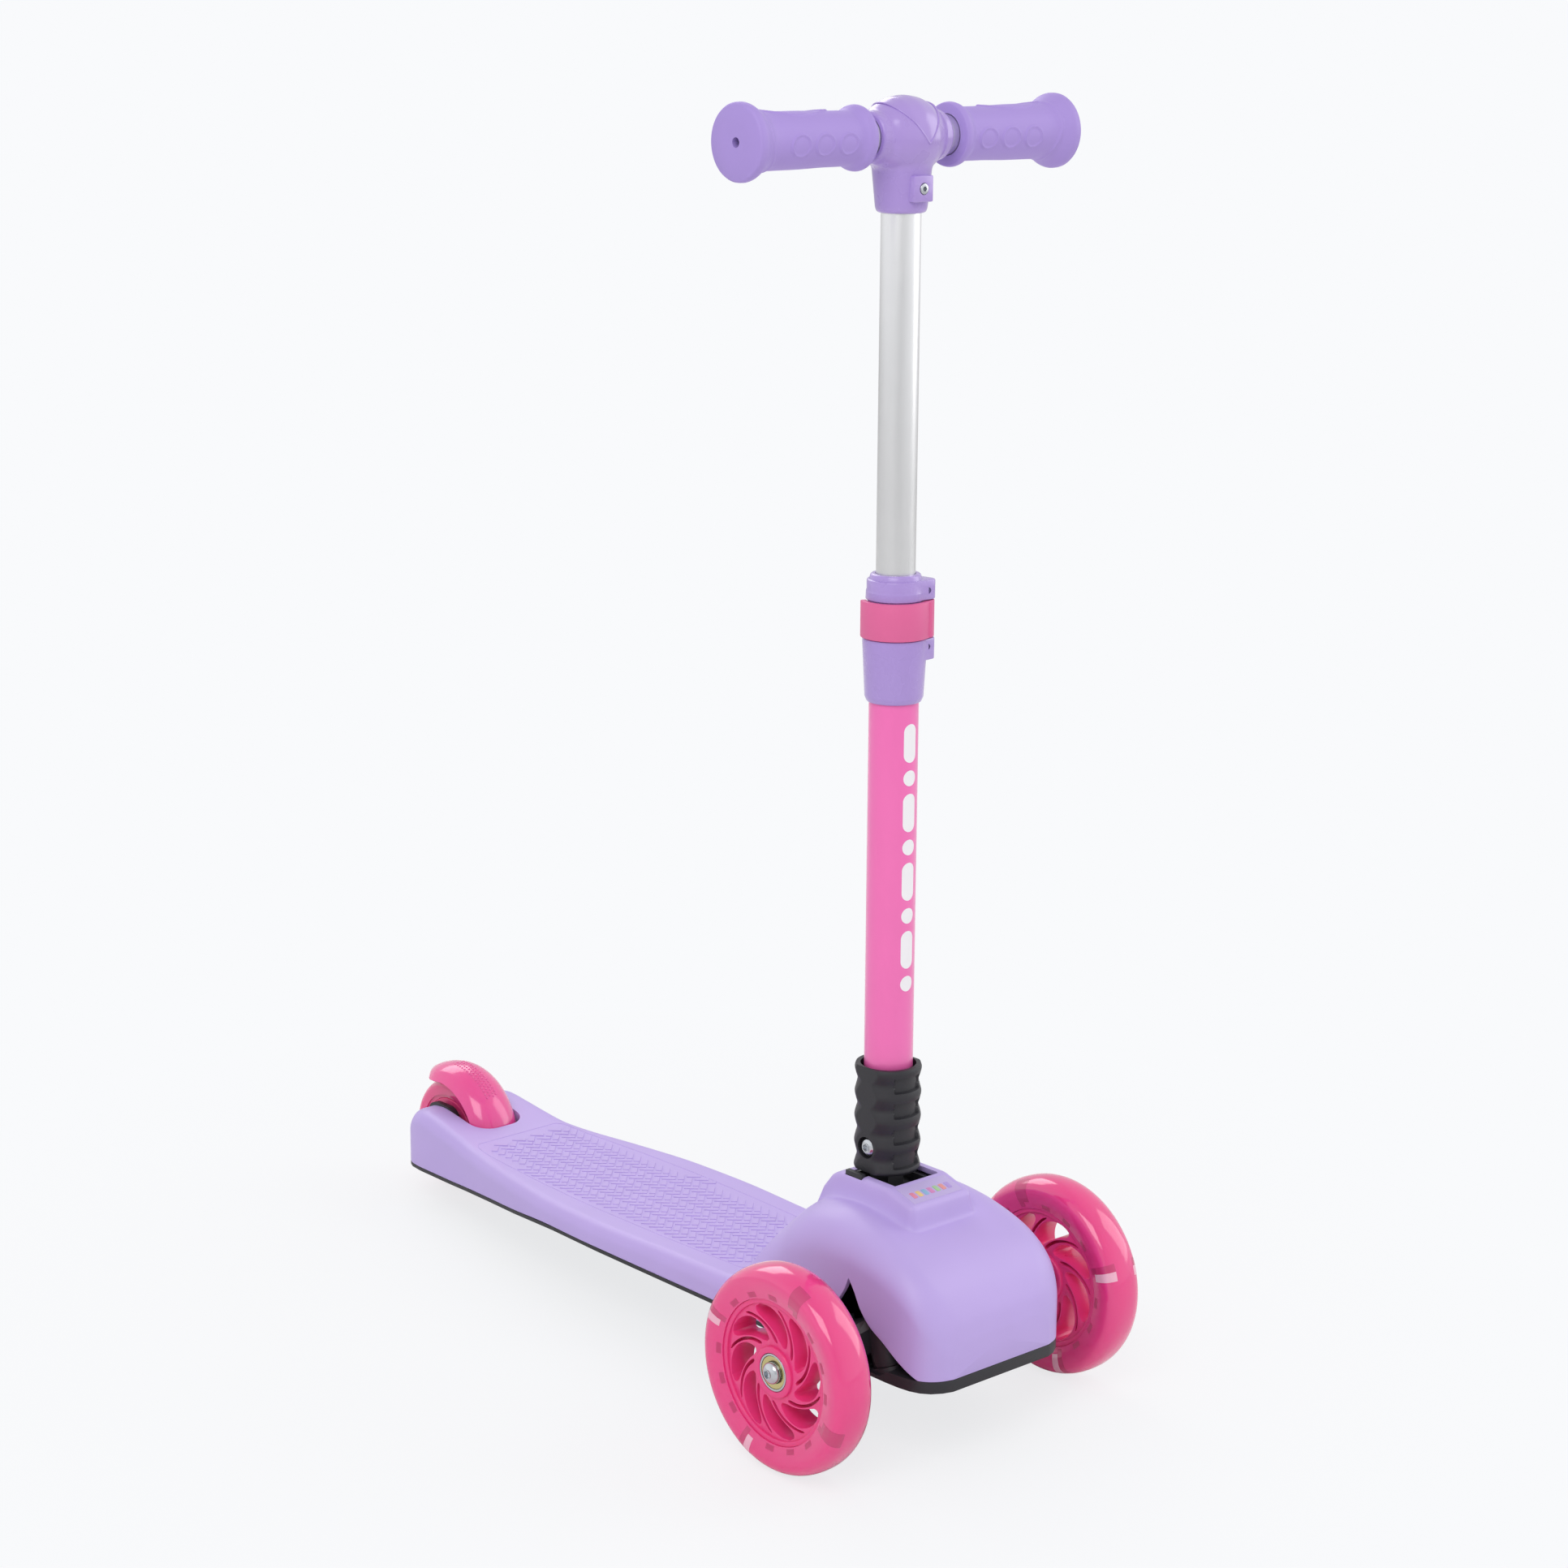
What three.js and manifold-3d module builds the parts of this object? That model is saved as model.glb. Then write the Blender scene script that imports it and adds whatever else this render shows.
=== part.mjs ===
// Three wheel folding kids scooter, in millimetres, +Z up, forward along -Y.
// The body is drawn upright, from below the middle of the front axle, then leaned back about
// that axle until the rear wheel stands on the ground. The origin lies on the ground under
// the middle of the whole scooter.
import * as THREE from "three";
import { mergeVertices } from "three/addons/utils/BufferGeometryUtils.js";
import Module from "manifold-3d";

const wasm = await Module();
wasm.setup();

// Clearances, small steps and overruns
const seatGap = 0.3;
const runGap = 0.35;
const threadGap = 0.2;
const pressGap = 0.1;
const lap = 1;
const edgeEase = 1;
const overrun = 5;
const weldTolerance = 0.0001;

// Facets round a turned piece
const wheelSides = 32;
const tubeSides = 24;
const roundSides = 20;
const boltSides = 12;
const bossSides = 8;
const hexSides = 6;

// Wheels
const frontWheelRadius = 60;
const frontWheelWidth = 26;
const frontRimRadius = 42;
const frontTrack = 213.6;
const rearWheelRadius = 38;
const rearWheelWidth = 23;
const rearRimRadius = 25;
const wheelBase = 448;
const rearAxleDepth = 13.5;
const tyreShoulder = 5;
const tyreFlatWidth = 5;
const rimWall = 5;
const rimWidth = 20;
const hubBossWidth = 21;
const hubBossWall = 3.6;
const bearingShelf = 2;
const spokeCount = 8;
const spokeThickness = 4.6;
const spokeWidth = 12;
const spokeSweepShare = 0.62;
const lightRingWall = 1.6;
const lightRingWidth = 8;

// Bearings, bolts and pins
const bearingRadius = 11;
const bearingBore = 4;
const bearingWidth = 7;
const axleRadius = 3.65;
const boltHeadRadius = 6.3;
const boltHeadHeight = 4;
const boltSocketRadius = 2.4;
const boltSocketDepth = 2.4;
const spacerWall = 1.4;
const forkSpacerWall = 2;
const nutRadius = 5.4;
const nutHeight = 6;

// Deck and hood, one purple moulding
const noseFront = 62;
const tailBehindAxle = 8.5;
const bodyHalfWidth = 63;
const deckHeight = 66.5;
const hoodRise = 63;
const bodyDepth = 20;
const tailFall = 10.5;
const shellWall = 3;
const cornerPoints = 4;
const ribThickness = 2;
const ribPitch = 56;
const ribSideOffset = 22;
const ribFirstY = 128;

// Raised platform on the hood, with the opening for the stem
const platformHalfWidth = 24;
const platformFront = 12.5;
const platformRise = 12.9;
const platformSlope = 6.4;
const platformRear = 70;
const platformCorner = 4;
const openingHalfWidth = 17.3;
const openingFront = 9;
const openingRear = 50.3;
const channelStep = 0.5;

// Wheel arch notch in each side of the hood
const archApexY = 3;
const archHeight = 53;
const archForwardReach = 53;
const archRearReach = 30;

// Rear wheel slot and fork
const slotHalfWidth = 19.5;
const slotForward = 57.5;
const slotCorner = 8;
const slotLip = 9;
const slotMouthCorner = 14;
const forkThickness = 4.2;
const forkRise = 24;
const forkFrontReach = 19;
const forkRearReach = 11;
const forkCorner = 9;

// Black tray under the deck
const trayFloor = 2.4;
const noseLip = 7;
const lipWall = 3;
const lipEnd = 30;
const screwShaft = 1.6;
const screwHead = 3.6;
const screwHeadHeight = 1.8;
const screwBoss = 4.6;
const screwTipGap = 2;

// Steering: kingpins lean back, knuckles trail behind them
const kingpinInset = 18;
const kingpinSetForward = 20;
const kingpinSink = 0.5;
const kingpinLean = THREE.MathUtils.degToRad(20);
const kingpinRadius = 4;
const kingpinHeadRadius = 7;
const earRadius = 10.5;
const earLength = 5;
const bossRadius = 9.2;
const bossLength = 28;
const bossRoomGap = 2;
const springLength = 7.4;
const topLugLength = 7;
const lugInset = 2;
const springRadius = 6.6;
const springWire = 1.3;
const springTurns = 3;
const stubRadius = 7.5;
const stubLength = 36.8;
const armEndInset = 24.8;
const axleBoreInset = 4;
const axleTipInset = 6;
const tiePinReach = 15.5;
const tiePinRadius = 2.2;
const tiePinHeadRadius = 4;
const tiePinHeadHeight = 2.5;
const tieEyeRadius = 5;
const tieRodHalfWidth = 3.5;
const tieRodThickness = 5;
const tieArmThickness = 5;
const tieArmBase = 13;

// Stem bracket and fold, each height a step from the piece below
const stemY = 34;
const bracketSink = 3.9;
const pocketDepth = 4.5;
const cheekRise = 5.5;
const foldRise = 20;
const foldBoltRadius = 4;
const latchLift = 5;
const bracketFlangeHalfWidth = 30;
const bracketFlangeRear = 74;
const bracketFlange = 5;
const bracketPocketHalfWidth = 13.8;
const cheekInner = 19.6;
const cheekOuter = 22.6;
const cheekFront = 31;
const cheekRear = 44.5;
const cheekPlate = 4;
const bracketWall = 2.2;
const tongueHalfWidth = 6;
const tongueHalfDepth = 7.5;
const swingGap = 0.45;

// Ribbed fold socket
const socketBelowFold = 14.5;
const socketLength = 62.6;
const socketFloorRise = 15;
const socketRadius = 17.6;
const socketBulge = 1.6;
const socketBulges = 4;
const socketFlat = 17.2;
const socketMouthRadius = 16;
const socketMouthDepth = 8;
const foldHeadRadius = 5.25;
const foldHeadHeight = 3;
const foldHeadRecess = 1.2;
const foldNutHeight = 5;
const foldNutSink = 0.5;

// Lower and upper tubes
const lowerTubeRadius = 14;
const lowerTubeBore = 11.9;
const lowerTubeRun = 300.5;
const upperTubeRadius = 11;
const upperTubeWall = 1.5;
const tubeOverlap = 134;
const bushLip = 4;
const bushPlug = 12;

// Height clamp, measured from the top of the lower tube
const clampDrop = 56;
const clampCrownRise = 16;
const clampFootRadius = 16.3;
const clampSkirtRadius = 18.2;
const clampWaistRadius = 15.6;
const clampRingRadius = 16.6;
const clampRingHeight = 2;
const clampCrownRadius = 14;
const earBlend = 0.6;
const earReach = 18.2;
const clampEarRadius = 3.8;
const lowerEarLength = 12.4;
const highEarDrop = 4;
const leverDrop = 19.6;
const leverWidth = 21;
const leverBarrelRadius = 3.5;
const leverInner = 16.1;
const leverOuter = 19.4;
const leverWebLength = 3;
const leverWebReach = 2;
const leverPinRadius = 1.7;
const leverPinInset = 2;
const clampTurn = THREE.MathUtils.degToRad(-40);
const leverWrap = THREE.MathUtils.degToRad(176);
const leverStart = THREE.MathUtils.degToRad(16);

// Handlebar
const barRise = 253;
const barHalfLength = 117.5;
const barRadius = 11;
const barWall = 1.2;
const teeDrop = 40.5;
const teeNeckRadius = 13.9;
const teeShoulderRadius = 16.1;
const teeCollarRadius = 17.5;
const teeCollarDrop = 6;
const teeBodyRadius = 20.5;
const teeHalfLength = 26;
const teeSocketRadius = 13.8;
const teeTubeDepth = 24;
const teePadDrop = 27;
const teePadHalf = 7;
const teePadReach = 16.4;
const teeScrewRadius = 2.9;
const teeScrewProud = 0.4;
const teeScrewSocket = 2;
const gripInner = 32.5;
const gripFlangeRadius = 17.4;
const gripFlangeWidth = 2.5;
const gripFlangeTaper = 3.5;
const gripFlangeStep = 1.5;
const gripNeckLength = 5;
const gripWaistRadius = 14.6;
const gripBodyRadius = 15.3;
const gripBodyStart = 8;
const gripFlareLength = 8;
const gripCapRadius = 20.6;
const gripCapWidth = 8;
const gripCapRound = 3.5;
const gripCapThickness = 4;
const gripCapEase = 0.6;
const gripVent = 2.7;

// Brake fender over the rear wheel
const fenderCrown = 48;
const fenderWall = 2.6;
const fenderHalfWidth = 18;
const fenderDrop = 13;
const fenderFront = THREE.MathUtils.degToRad(-84);
const fenderRear = THREE.MathUtils.degToRad(33);
const fenderSteps = 14;
const fenderEndSteps = 4;
const fenderEndShare = 0.2;
const fenderBarrelInset = 2;
const fenderWebReach = 2;
const brakeForward = 52;
const brakePivotDrop = 1;
const brakeBarrelRadius = 4.6;
const brakePinRadius = 2;
const brakePinHalfLength = 22;

// Derived places
const rearAxleHeight = deckHeight - rearAxleDepth;
const tailY = wheelBase + tailBehindAxle;
const axleDrop = frontWheelRadius - rearAxleHeight;
const axleSpan = Math.hypot(wheelBase, axleDrop);
const bodyLean = Math.asin((frontWheelRadius - rearWheelRadius) / axleSpan) - Math.asin(axleDrop / axleSpan);
const rearAxleY = Math.sqrt(axleSpan ** 2 - (frontWheelRadius - rearWheelRadius) ** 2);
const wheelX = frontTrack / 2;
const bodyLength = noseFront + tailY;
const noseBottom = deckHeight - bodyDepth;
const tailBottom = noseBottom - tailFall;
const slotFront = wheelBase - slotForward;
const brakePivotY = wheelBase - brakeForward;
const brakePivotHeight = rearAxleHeight - brakePivotDrop;
const hoodHeight = deckHeight + hoodRise;
const archApexHeight = noseBottom + archHeight;
const forkTop = rearAxleHeight + forkRise;
const lipRear = -lipEnd;
const kingpinX = bodyHalfWidth - kingpinInset;
const kingpinY = -kingpinSetForward;
const armInner = kingpinX + lap;
const armOuter = wheelX - armEndInset;
const stubStart = wheelX - stubLength;
const kingpinFoot = noseBottom - kingpinSink;
const platformHeight = hoodHeight + platformRise;
const platformFrontHeight = platformHeight - platformSlope;
const bracketFloorTop = platformHeight - bracketSink;
const bracketPocketFloor = bracketFloorTop - pocketDepth;
const channelHeight = bracketFloorTop + channelStep;
const cheekTop = bracketFloorTop + cheekRise;
const foldHeight = bracketFloorTop + foldRise;
const socketFoot = foldHeight - socketBelowFold;
const socketTop = socketFoot + socketLength;
const socketBoreFloor = foldHeight + socketFloorRise;
const lowerTubeTop = socketBoreFloor + lowerTubeRun;
const upperTubeFoot = lowerTubeTop - tubeOverlap;
const clampFoot = lowerTubeTop - clampDrop;
const clampTop = lowerTubeTop + clampCrownRise;
const leverFoot = lowerTubeTop - leverDrop;
const leverTop = leverFoot + leverWidth;
const lowerEarFoot = leverFoot - lowerEarLength;
const barHeight = lowerTubeTop + barRise;
const teeBottom = barHeight - teeDrop;
const teePadHeight = barHeight - teePadDrop;

// Colours
const finishes = {
  purple: new THREE.MeshStandardMaterial({ color: "#ad95dc", roughness: 0.45, metalness: 0 }),
  purpleRubber: new THREE.MeshStandardMaterial({ color: "#a78cd6", roughness: 0.6, metalness: 0 }),
  pink: new THREE.MeshStandardMaterial({ color: "#e8468c", roughness: 0.3, metalness: 0 }),
  clearPink: new THREE.MeshStandardMaterial({ color: "#f05a96", roughness: 0.12, metalness: 0 }),
  pinkPaint: new THREE.MeshStandardMaterial({ color: "#ee6ab4", roughness: 0.3, metalness: 0 }),
  leverPink: new THREE.MeshStandardMaterial({ color: "#e0689c", roughness: 0.5, metalness: 0 }),
  black: new THREE.MeshStandardMaterial({ color: "#2f2e33", roughness: 0.6, metalness: 0 }),
  silver: new THREE.MeshStandardMaterial({ color: "#c6c6c8", roughness: 0.35, metalness: 0.9 }),
  steel: new THREE.MeshStandardMaterial({ color: "#b9bcc2", roughness: 0.25, metalness: 1 }),
  clear: new THREE.MeshStandardMaterial({ color: "#f4eef2", roughness: 0.1, metalness: 0 }),
};

// Geometry helpers: each returns a solid that can be joined and cut
function signedVolume(position, index) {
  const [a, b, c] = [new THREE.Vector3(), new THREE.Vector3(), new THREE.Vector3()];
  let total = 0;
  for (let i = 0; i < index.length; i += 3) {
    a.fromBufferAttribute(position, index[i]);
    b.fromBufferAttribute(position, index[i + 1]);
    c.fromBufferAttribute(position, index[i + 2]);
    total += a.dot(b.cross(c));
  }
  return total;
}

function solid(geometry) {
  geometry.deleteAttribute("normal");
  geometry.deleteAttribute("uv");
  const merged = mergeVertices(geometry, weldTolerance);
  const position = merged.attributes.position;
  const triangles = Uint32Array.from(merged.index.array);
  if (signedVolume(position, triangles) < 0) {
    for (let i = 0; i < triangles.length; i += 3) {
      [triangles[i], triangles[i + 1]] = [triangles[i + 1], triangles[i]];
    }
  }
  const vertProperties = Float32Array.from(position.array);
  return new wasm.Manifold(new wasm.Mesh({ numProp: 3, vertProperties, triVerts: triangles }));
}

function geometryOf(body) {
  const mesh = body.getMesh();
  const geometry = new THREE.BufferGeometry();
  geometry.setAttribute("position", new THREE.BufferAttribute(mesh.vertProperties, 3));
  geometry.setIndex(new THREE.BufferAttribute(mesh.triVerts, 1));
  geometry.computeVertexNormals();
  return geometry;
}

const join = (...bodies) => bodies.reduce((whole, next) => whole.add(next));
const cut = (body, ...tools) => tools.reduce((whole, tool) => whole.subtract(tool), body);

// A box between two corners
function box([x0, y0, z0], [x1, y1, z1]) {
  const geometry = new THREE.BoxGeometry(x1 - x0, y1 - y0, z1 - z0);
  geometry.translate((x0 + x1) / 2, (y0 + y1) / 2, (z0 + z1) / 2);
  return solid(geometry);
}

const alongX = new THREE.Matrix4().makeRotationY(Math.PI / 2);
const alongY = new THREE.Matrix4().makeRotationX(-Math.PI / 2);
const alongZ = new THREE.Matrix4();

// A profile of [radius, height] points turned about an axis; flats face the four directions
function turned(profile, sides, place = alongZ) {
  const apothem = Math.cos(Math.PI / sides);
  const points = profile.map(([radius, height]) => new THREE.Vector2(radius / apothem, height));
  const first = points[0];
  const last = points[points.length - 1];
  if (first.x > 0 || last.x > 0) points.push(first.clone());
  const geometry = new THREE.LatheGeometry(points, sides, Math.PI / sides);
  geometry.rotateX(Math.PI / 2);
  geometry.applyMatrix4(place);
  return solid(geometry);
}

// A round bar from one height to another along the axis
function bar(radius, from, to, sides, place = alongZ) {
  return turned([[0, from], [radius, from], [radius, to], [0, to]], sides, place);
}

// A pipe with an inner radius
function pipe(inner, outer, from, to, sides, place = alongZ) {
  return turned([[inner, from], [outer, from], [outer, to], [inner, to]], sides, place);
}

// An outline of [y, z] points pushed sideways from one x to another
const sideways = new THREE.Matrix4().makeBasis(
  new THREE.Vector3(0, 1, 0), new THREE.Vector3(0, 0, 1), new THREE.Vector3(1, 0, 0));

function sideProfile(points, from, to) {
  const shape = new THREE.Shape(points.map(([y, z]) => new THREE.Vector2(y, z)));
  const geometry = new THREE.ExtrudeGeometry(shape, { depth: to - from, bevelEnabled: false });
  geometry.translate(0, 0, from);
  geometry.applyMatrix4(sideways);
  return solid(geometry);
}

// A plan outline pushed up from one height to another
function planShape(shape, from, to, curveSegments = 8) {
  const settings = { depth: to - from, bevelEnabled: false, curveSegments };
  const geometry = new THREE.ExtrudeGeometry(shape, settings);
  geometry.translate(0, 0, from);
  return geometry;
}

// A skin through rings of equal point count, closed by a fan at each end
function loft(rings) {
  const count = rings[0].length;
  const positions = rings.flat().flatMap((point) => point.toArray());
  const index = [];
  for (let ring = 0; ring + 1 < rings.length; ring += 1) {
    for (let point = 0; point < count; point += 1) {
      const next = (point + 1) % count;
      const [a, b] = [ring * count + point, ring * count + next];
      index.push(a, b, b + count, a, b + count, a + count);
    }
  }
  [rings[0], rings[rings.length - 1]].forEach((ring, end) => {
    const centre = new THREE.Vector3();
    ring.forEach((point) => centre.add(point));
    positions.push(...centre.divideScalar(count).toArray());
    const start = end * (rings.length - 1) * count;
    for (let point = 0; point < count; point += 1) {
      const pair = [start + point, start + ((point + 1) % count)];
      if (end === 0) pair.reverse();
      index.push(...pair, rings.length * count + end);
    }
  });
  const geometry = new THREE.BufferGeometry();
  geometry.setAttribute("position", new THREE.Float32BufferAttribute(positions, 3));
  geometry.setIndex(index);
  return solid(geometry);
}

// A solid moved as a whole
function moved(body, matrix) {
  const geometry = geometryOf(body);
  geometry.applyMatrix4(matrix);
  return solid(geometry);
}

function named(name, body, finish) {
  const mesh = new THREE.Mesh(geometryOf(body), finish);
  mesh.name = name;
  return mesh;
}

const group = new THREE.Group();
group.name = "three_wheel_kids_scooter";
const leaning = new THREE.Group();
leaning.position.z = frontWheelRadius;
leaning.rotation.x = -bodyLean;
const body = new THREE.Group();
body.position.z = -frontWheelRadius;
leaning.add(body);
group.add(leaning);

// Body sections from nose to tail. Each row of shares gives a place along the body, the half
// width, the top height above the deck, the edge radius and the bottom's fall to the tail.
const bodyShares = [
  [0, 0.6, 0.12, 0.19, 0], [0.004, 0.7, 0.28, 0.24, 0], [0.011, 0.79, 0.41, 0.27, 0],
  [0.02, 0.85, 0.53, 0.28, 0], [0.032, 0.89, 0.635, 0.28, 0], [0.047, 0.91, 0.73, 0.29, 0],
  [0.066, 0.918, 0.815, 0.3, 0], [0.095, 0.92, 0.9, 0.32, 0], [0.13, 0.92, 0.965, 0.34, 0],
  [0.17, 0.92, 1, 0.38, 0], [0.205, 0.92, 0.97, 0.43, 0], [0.23, 0.92, 0.9, 0.48, 0],
  [0.25, 0.92, 0.77, 0.5, 0], [0.27, 0.921, 0.61, 0.47, 0], [0.29, 0.923, 0.4, 0.38, 0],
  [0.308, 0.926, 0.17, 0.27, 0], [0.325, 0.93, 0.03, 0.17, 0], [0.345, 0.935, 0, 0.13, -0.1],
  [0.44, 0.96, 0, 0.13, -0.2], [0.55, 1, 0, 0.13, -0.36], [0.64, 0.98, 0, 0.13, -0.36],
  [0.73, 0.89, 0, 0.13, 0.03], [0.8, 0.79, 0, 0.13, 0.37], [0.86, 0.7, 0.02, 0.13, 0.7],
  [0.9, 0.665, 0.065, 0.13, 0.85], [0.94, 0.645, 0.12, 0.14, 0.92], [0.97, 0.63, 0.15, 0.14, 0.97],
  [0.99, 0.605, 0.13, 0.16, 1], [1, 0.57, 0.07, 0.16, 1],
];

// One body section, drawn inwards by a wall
function bodyRing([alongShare, widthShare, riseShare, cornerShare, fallShare], wall, drop) {
  const y = -noseFront + alongShare * bodyLength;
  const width = widthShare * bodyHalfWidth - wall;
  const top = deckHeight + riseShare * hoodRise - wall;
  const corner = Math.max(cornerShare * bodyHalfWidth - wall, shellWall / 2);
  const bottom = noseBottom - fallShare * tailFall - drop;
  const left = [new THREE.Vector3(-width, y, bottom)];
  for (let step = 0; step <= cornerPoints; step += 1) {
    const turn = (step / cornerPoints) * (Math.PI / 2);
    const x = -width + corner - corner * Math.cos(turn);
    left.push(new THREE.Vector3(x, y, top - corner + corner * Math.sin(turn)));
  }
  const right = left.map((point) => new THREE.Vector3(-point.x, y, point.z)).reverse();
  return [...left, ...right];
}

// The body's outside, and its hollow, whose ends stop a wall short of nose and tail
const bodyOuter = loft(bodyShares.map((row) => bodyRing(row, 0, 0)));

function bodyHollow() {
  const inner = bodyShares.filter((row, i) => i % 2 === 1);
  const rings = inner.map((row) => bodyRing(row, shellWall, overrun));
  const limits = [-noseFront + shellWall, tailY - shellWall];
  [rings[0], rings[rings.length - 1]].forEach((ring, end) => {
    ring.forEach((point) => point.setY(limits[end]));
  });
  const last = rings.length - 1;
  const between = (y) => y > limits[0] && y < limits[1];
  return loft(rings.filter((ring, i) => i === 0 || i === last || between(ring[0].y)));
}

// The tray edge as seen from the side: full lip at the nose, thin along the deck
function bodyBottomAt(y) {
  const share = (y + noseFront) / bodyLength;
  const next = Math.max(1, bodyShares.findIndex((row) => row[0] >= share));
  const [low, high] = [bodyShares[next - 1], bodyShares[next]];
  const part = (share - low[0]) / (high[0] - low[0]);
  return noseBottom - (low[4] + part * (high[4] - low[4])) * tailFall;
}

const bottomStations = bodyShares.map((row) => -noseFront + row[0] * bodyLength);

// Everything under a line that follows the body's bottom, raised by an amount
function underBody(raise, noseRaise) {
  const stops = bottomStations.filter((y) => y > lipRear + noseLip);
  const line = [[-noseFront - overrun, noseBottom + noseRaise], [lipRear, noseBottom + noseRaise]];
  line.push([lipRear + noseLip, noseBottom + raise]);
  stops.forEach((y) => line.push([y, bodyBottomAt(y) + raise]));
  line.push([tailY + overrun, tailBottom + raise]);
  line.push([tailY + overrun, tailBottom - 3 * overrun]);
  line.push([-noseFront - overrun, tailBottom - 3 * overrun]);
  return sideProfile(line, -bodyHalfWidth - overrun, bodyHalfWidth + overrun);
}

// Raised platform round the opening, drawn inwards by a wall
function platform(wall) {
  const front = -platformFront + wall;
  const rows = [
    [front, platformFrontHeight], [openingFront, platformHeight], [stemY, platformHeight],
    [openingRear - platformCorner, platformHeight - platformCorner / 4],
    [openingRear + platformCorner, platformHeight - platformCorner],
    [platformRear - 2 * platformCorner, hoodHeight],
    [platformRear - wall, hoodHeight - 3 * platformCorner],
  ];
  const half = platformHalfWidth - wall;
  return loft(rows.map(([y, height]) => {
    const top = height - wall;
    const foot = deckHeight + hoodRise / 2;
    const third = platformCorner / 3;
    const side = [[half, foot], [half, top - platformCorner], [half - third, top - third]];
    side.push([half - platformCorner, top]);
    const right = side.map(([x, z]) => new THREE.Vector3(x, y, z));
    const left = side.map(([x, z]) => new THREE.Vector3(-x, y, z)).reverse();
    return [...right, ...left];
  }));
}

// Pointed wheel arch, as shares of its height and of its reach forwards and backwards
const archFrontShares = [
  [0, 1], [0.085, 0.877], [0.185, 0.7], [0.32, 0.56], [0.555, 0.423], [0.735, 0.302], [1, 0.14],
];
const archRearShares = [[0, 1], [0.1, 0.87], [0.34, 0.66], [0.65, 0.4], [1, 0.07]];

function archPlug(side) {
  const at = ([along, up], reach) => [archApexY + along * reach, noseBottom + up * archHeight];
  const forward = archFrontShares.map((share) => at(share, -archForwardReach));
  const rearward = archRearShares.map((share) => at(share, archRearReach));
  const foot = noseBottom - overrun;
  const line = [...forward.reverse(), ...rearward.slice(1)];
  line.push([archApexY + archRearReach, foot], [archApexY - archForwardReach, foot]);
  const inner = side * (platformHalfWidth + overrun);
  const outer = side * (bodyHalfWidth + overrun);
  return sideProfile(line, Math.min(inner, outer), Math.max(inner, outer));
}

// Slot for the rear wheel, round at its front, through any height
function wheelSlot(halfWidth, front, corner) {
  const shape = new THREE.Shape();
  shape.moveTo(-halfWidth, tailY + overrun);
  shape.lineTo(-halfWidth, front + corner);
  shape.absarc(-halfWidth + corner, front + corner, corner, Math.PI, 1.5 * Math.PI, false);
  shape.absarc(halfWidth - corner, front + corner, corner, 1.5 * Math.PI, 2 * Math.PI, false);
  shape.lineTo(halfWidth, tailY + overrun);
  return solid(planShape(shape, tailBottom - overrun, hoodHeight, 4));
}

// Screws that hold the tray to the shell, in pairs along the deck
const screwShares = [[-0.5, 0.36], [0.5, 0.36], [-0.5, 0.6], [0.5, 0.6], [-0.38, 0.82], [0.38, 0.82]];
const screwPlaces = screwShares.map(([across, along]) => {
  return [across * bodyHalfWidth, -noseFront + along * bodyLength];
});

const rearAxlePlace = new THREE.Matrix4().makeTranslation(0, wheelBase, rearAxleHeight).multiply(alongX);
const brakePlace = new THREE.Matrix4().makeTranslation(0, brakePivotY, brakePivotHeight).multiply(alongX);

function postAt([x, y], radius, from, to, sides) {
  return bar(radius, from, to, sides, new THREE.Matrix4().makeTranslation(x, y, 0));
}

function topShell() {
  const hollow = join(bodyHollow(), platform(shellWall));
  const slotWalls = box([-slotHalfWidth - shellWall, slotFront - shellWall, tailBottom - 2 * overrun],
    [slotHalfWidth + shellWall, tailY + overrun, hoodHeight]);
  const cavity = cut(hollow, slotWalls);
  const ribs = [];
  for (let y = ribFirstY; y < slotFront - shellWall; y += ribPitch) {
    ribs.push(box([-bodyHalfWidth, y, tailBottom], [bodyHalfWidth, y + ribThickness, deckHeight]));
  }
  [-1, 1].forEach((side) => {
    const x = side * ribSideOffset;
    const edge = ribThickness / 2;
    ribs.push(box([x - edge, ribFirstY, tailBottom], [x + edge, slotFront, deckHeight]));
  });
  const bosses = screwPlaces.map((place) => postAt(place, screwBoss, tailBottom, deckHeight, bossSides));
  const midWall = loft(bodyShares.map((row) => bodyRing(row, shellWall / 2, 0)));
  const inside = join(...ribs, ...bosses).intersect(midWall);
  const walls = cut(join(bodyOuter, platform(0)), cavity);
  const holes = screwPlaces.map((place) => {
    return postAt(place, screwShaft + runGap, tailBottom - overrun, deckHeight - shellWall, hexSides);
  });
  return cut(join(walls, inside), ...stemRoom(), archPlug(-1), archPlug(1), ...rearRoom(),
    ...holes, underBody(trayFloor + seatGap, noseLip + seatGap));
}

// Opening for the stem, the channel it folds into and room for the bracket's cheeks
function stemRoom() {
  const above = platformHeight + overrun;
  const opening = box([-openingHalfWidth, openingFront, deckHeight], [openingHalfWidth, openingRear, above]);
  const channel = box([-openingHalfWidth, stemY, channelHeight], [openingHalfWidth, platformRear, above]);
  const cheekRoom = box(
    [-cheekOuter - seatGap, cheekFront - seatGap, bracketFloorTop - cheekPlate - seatGap],
    [cheekOuter + seatGap, cheekRear + seatGap, above]);
  return [opening, channel, cheekRoom];
}

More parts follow.
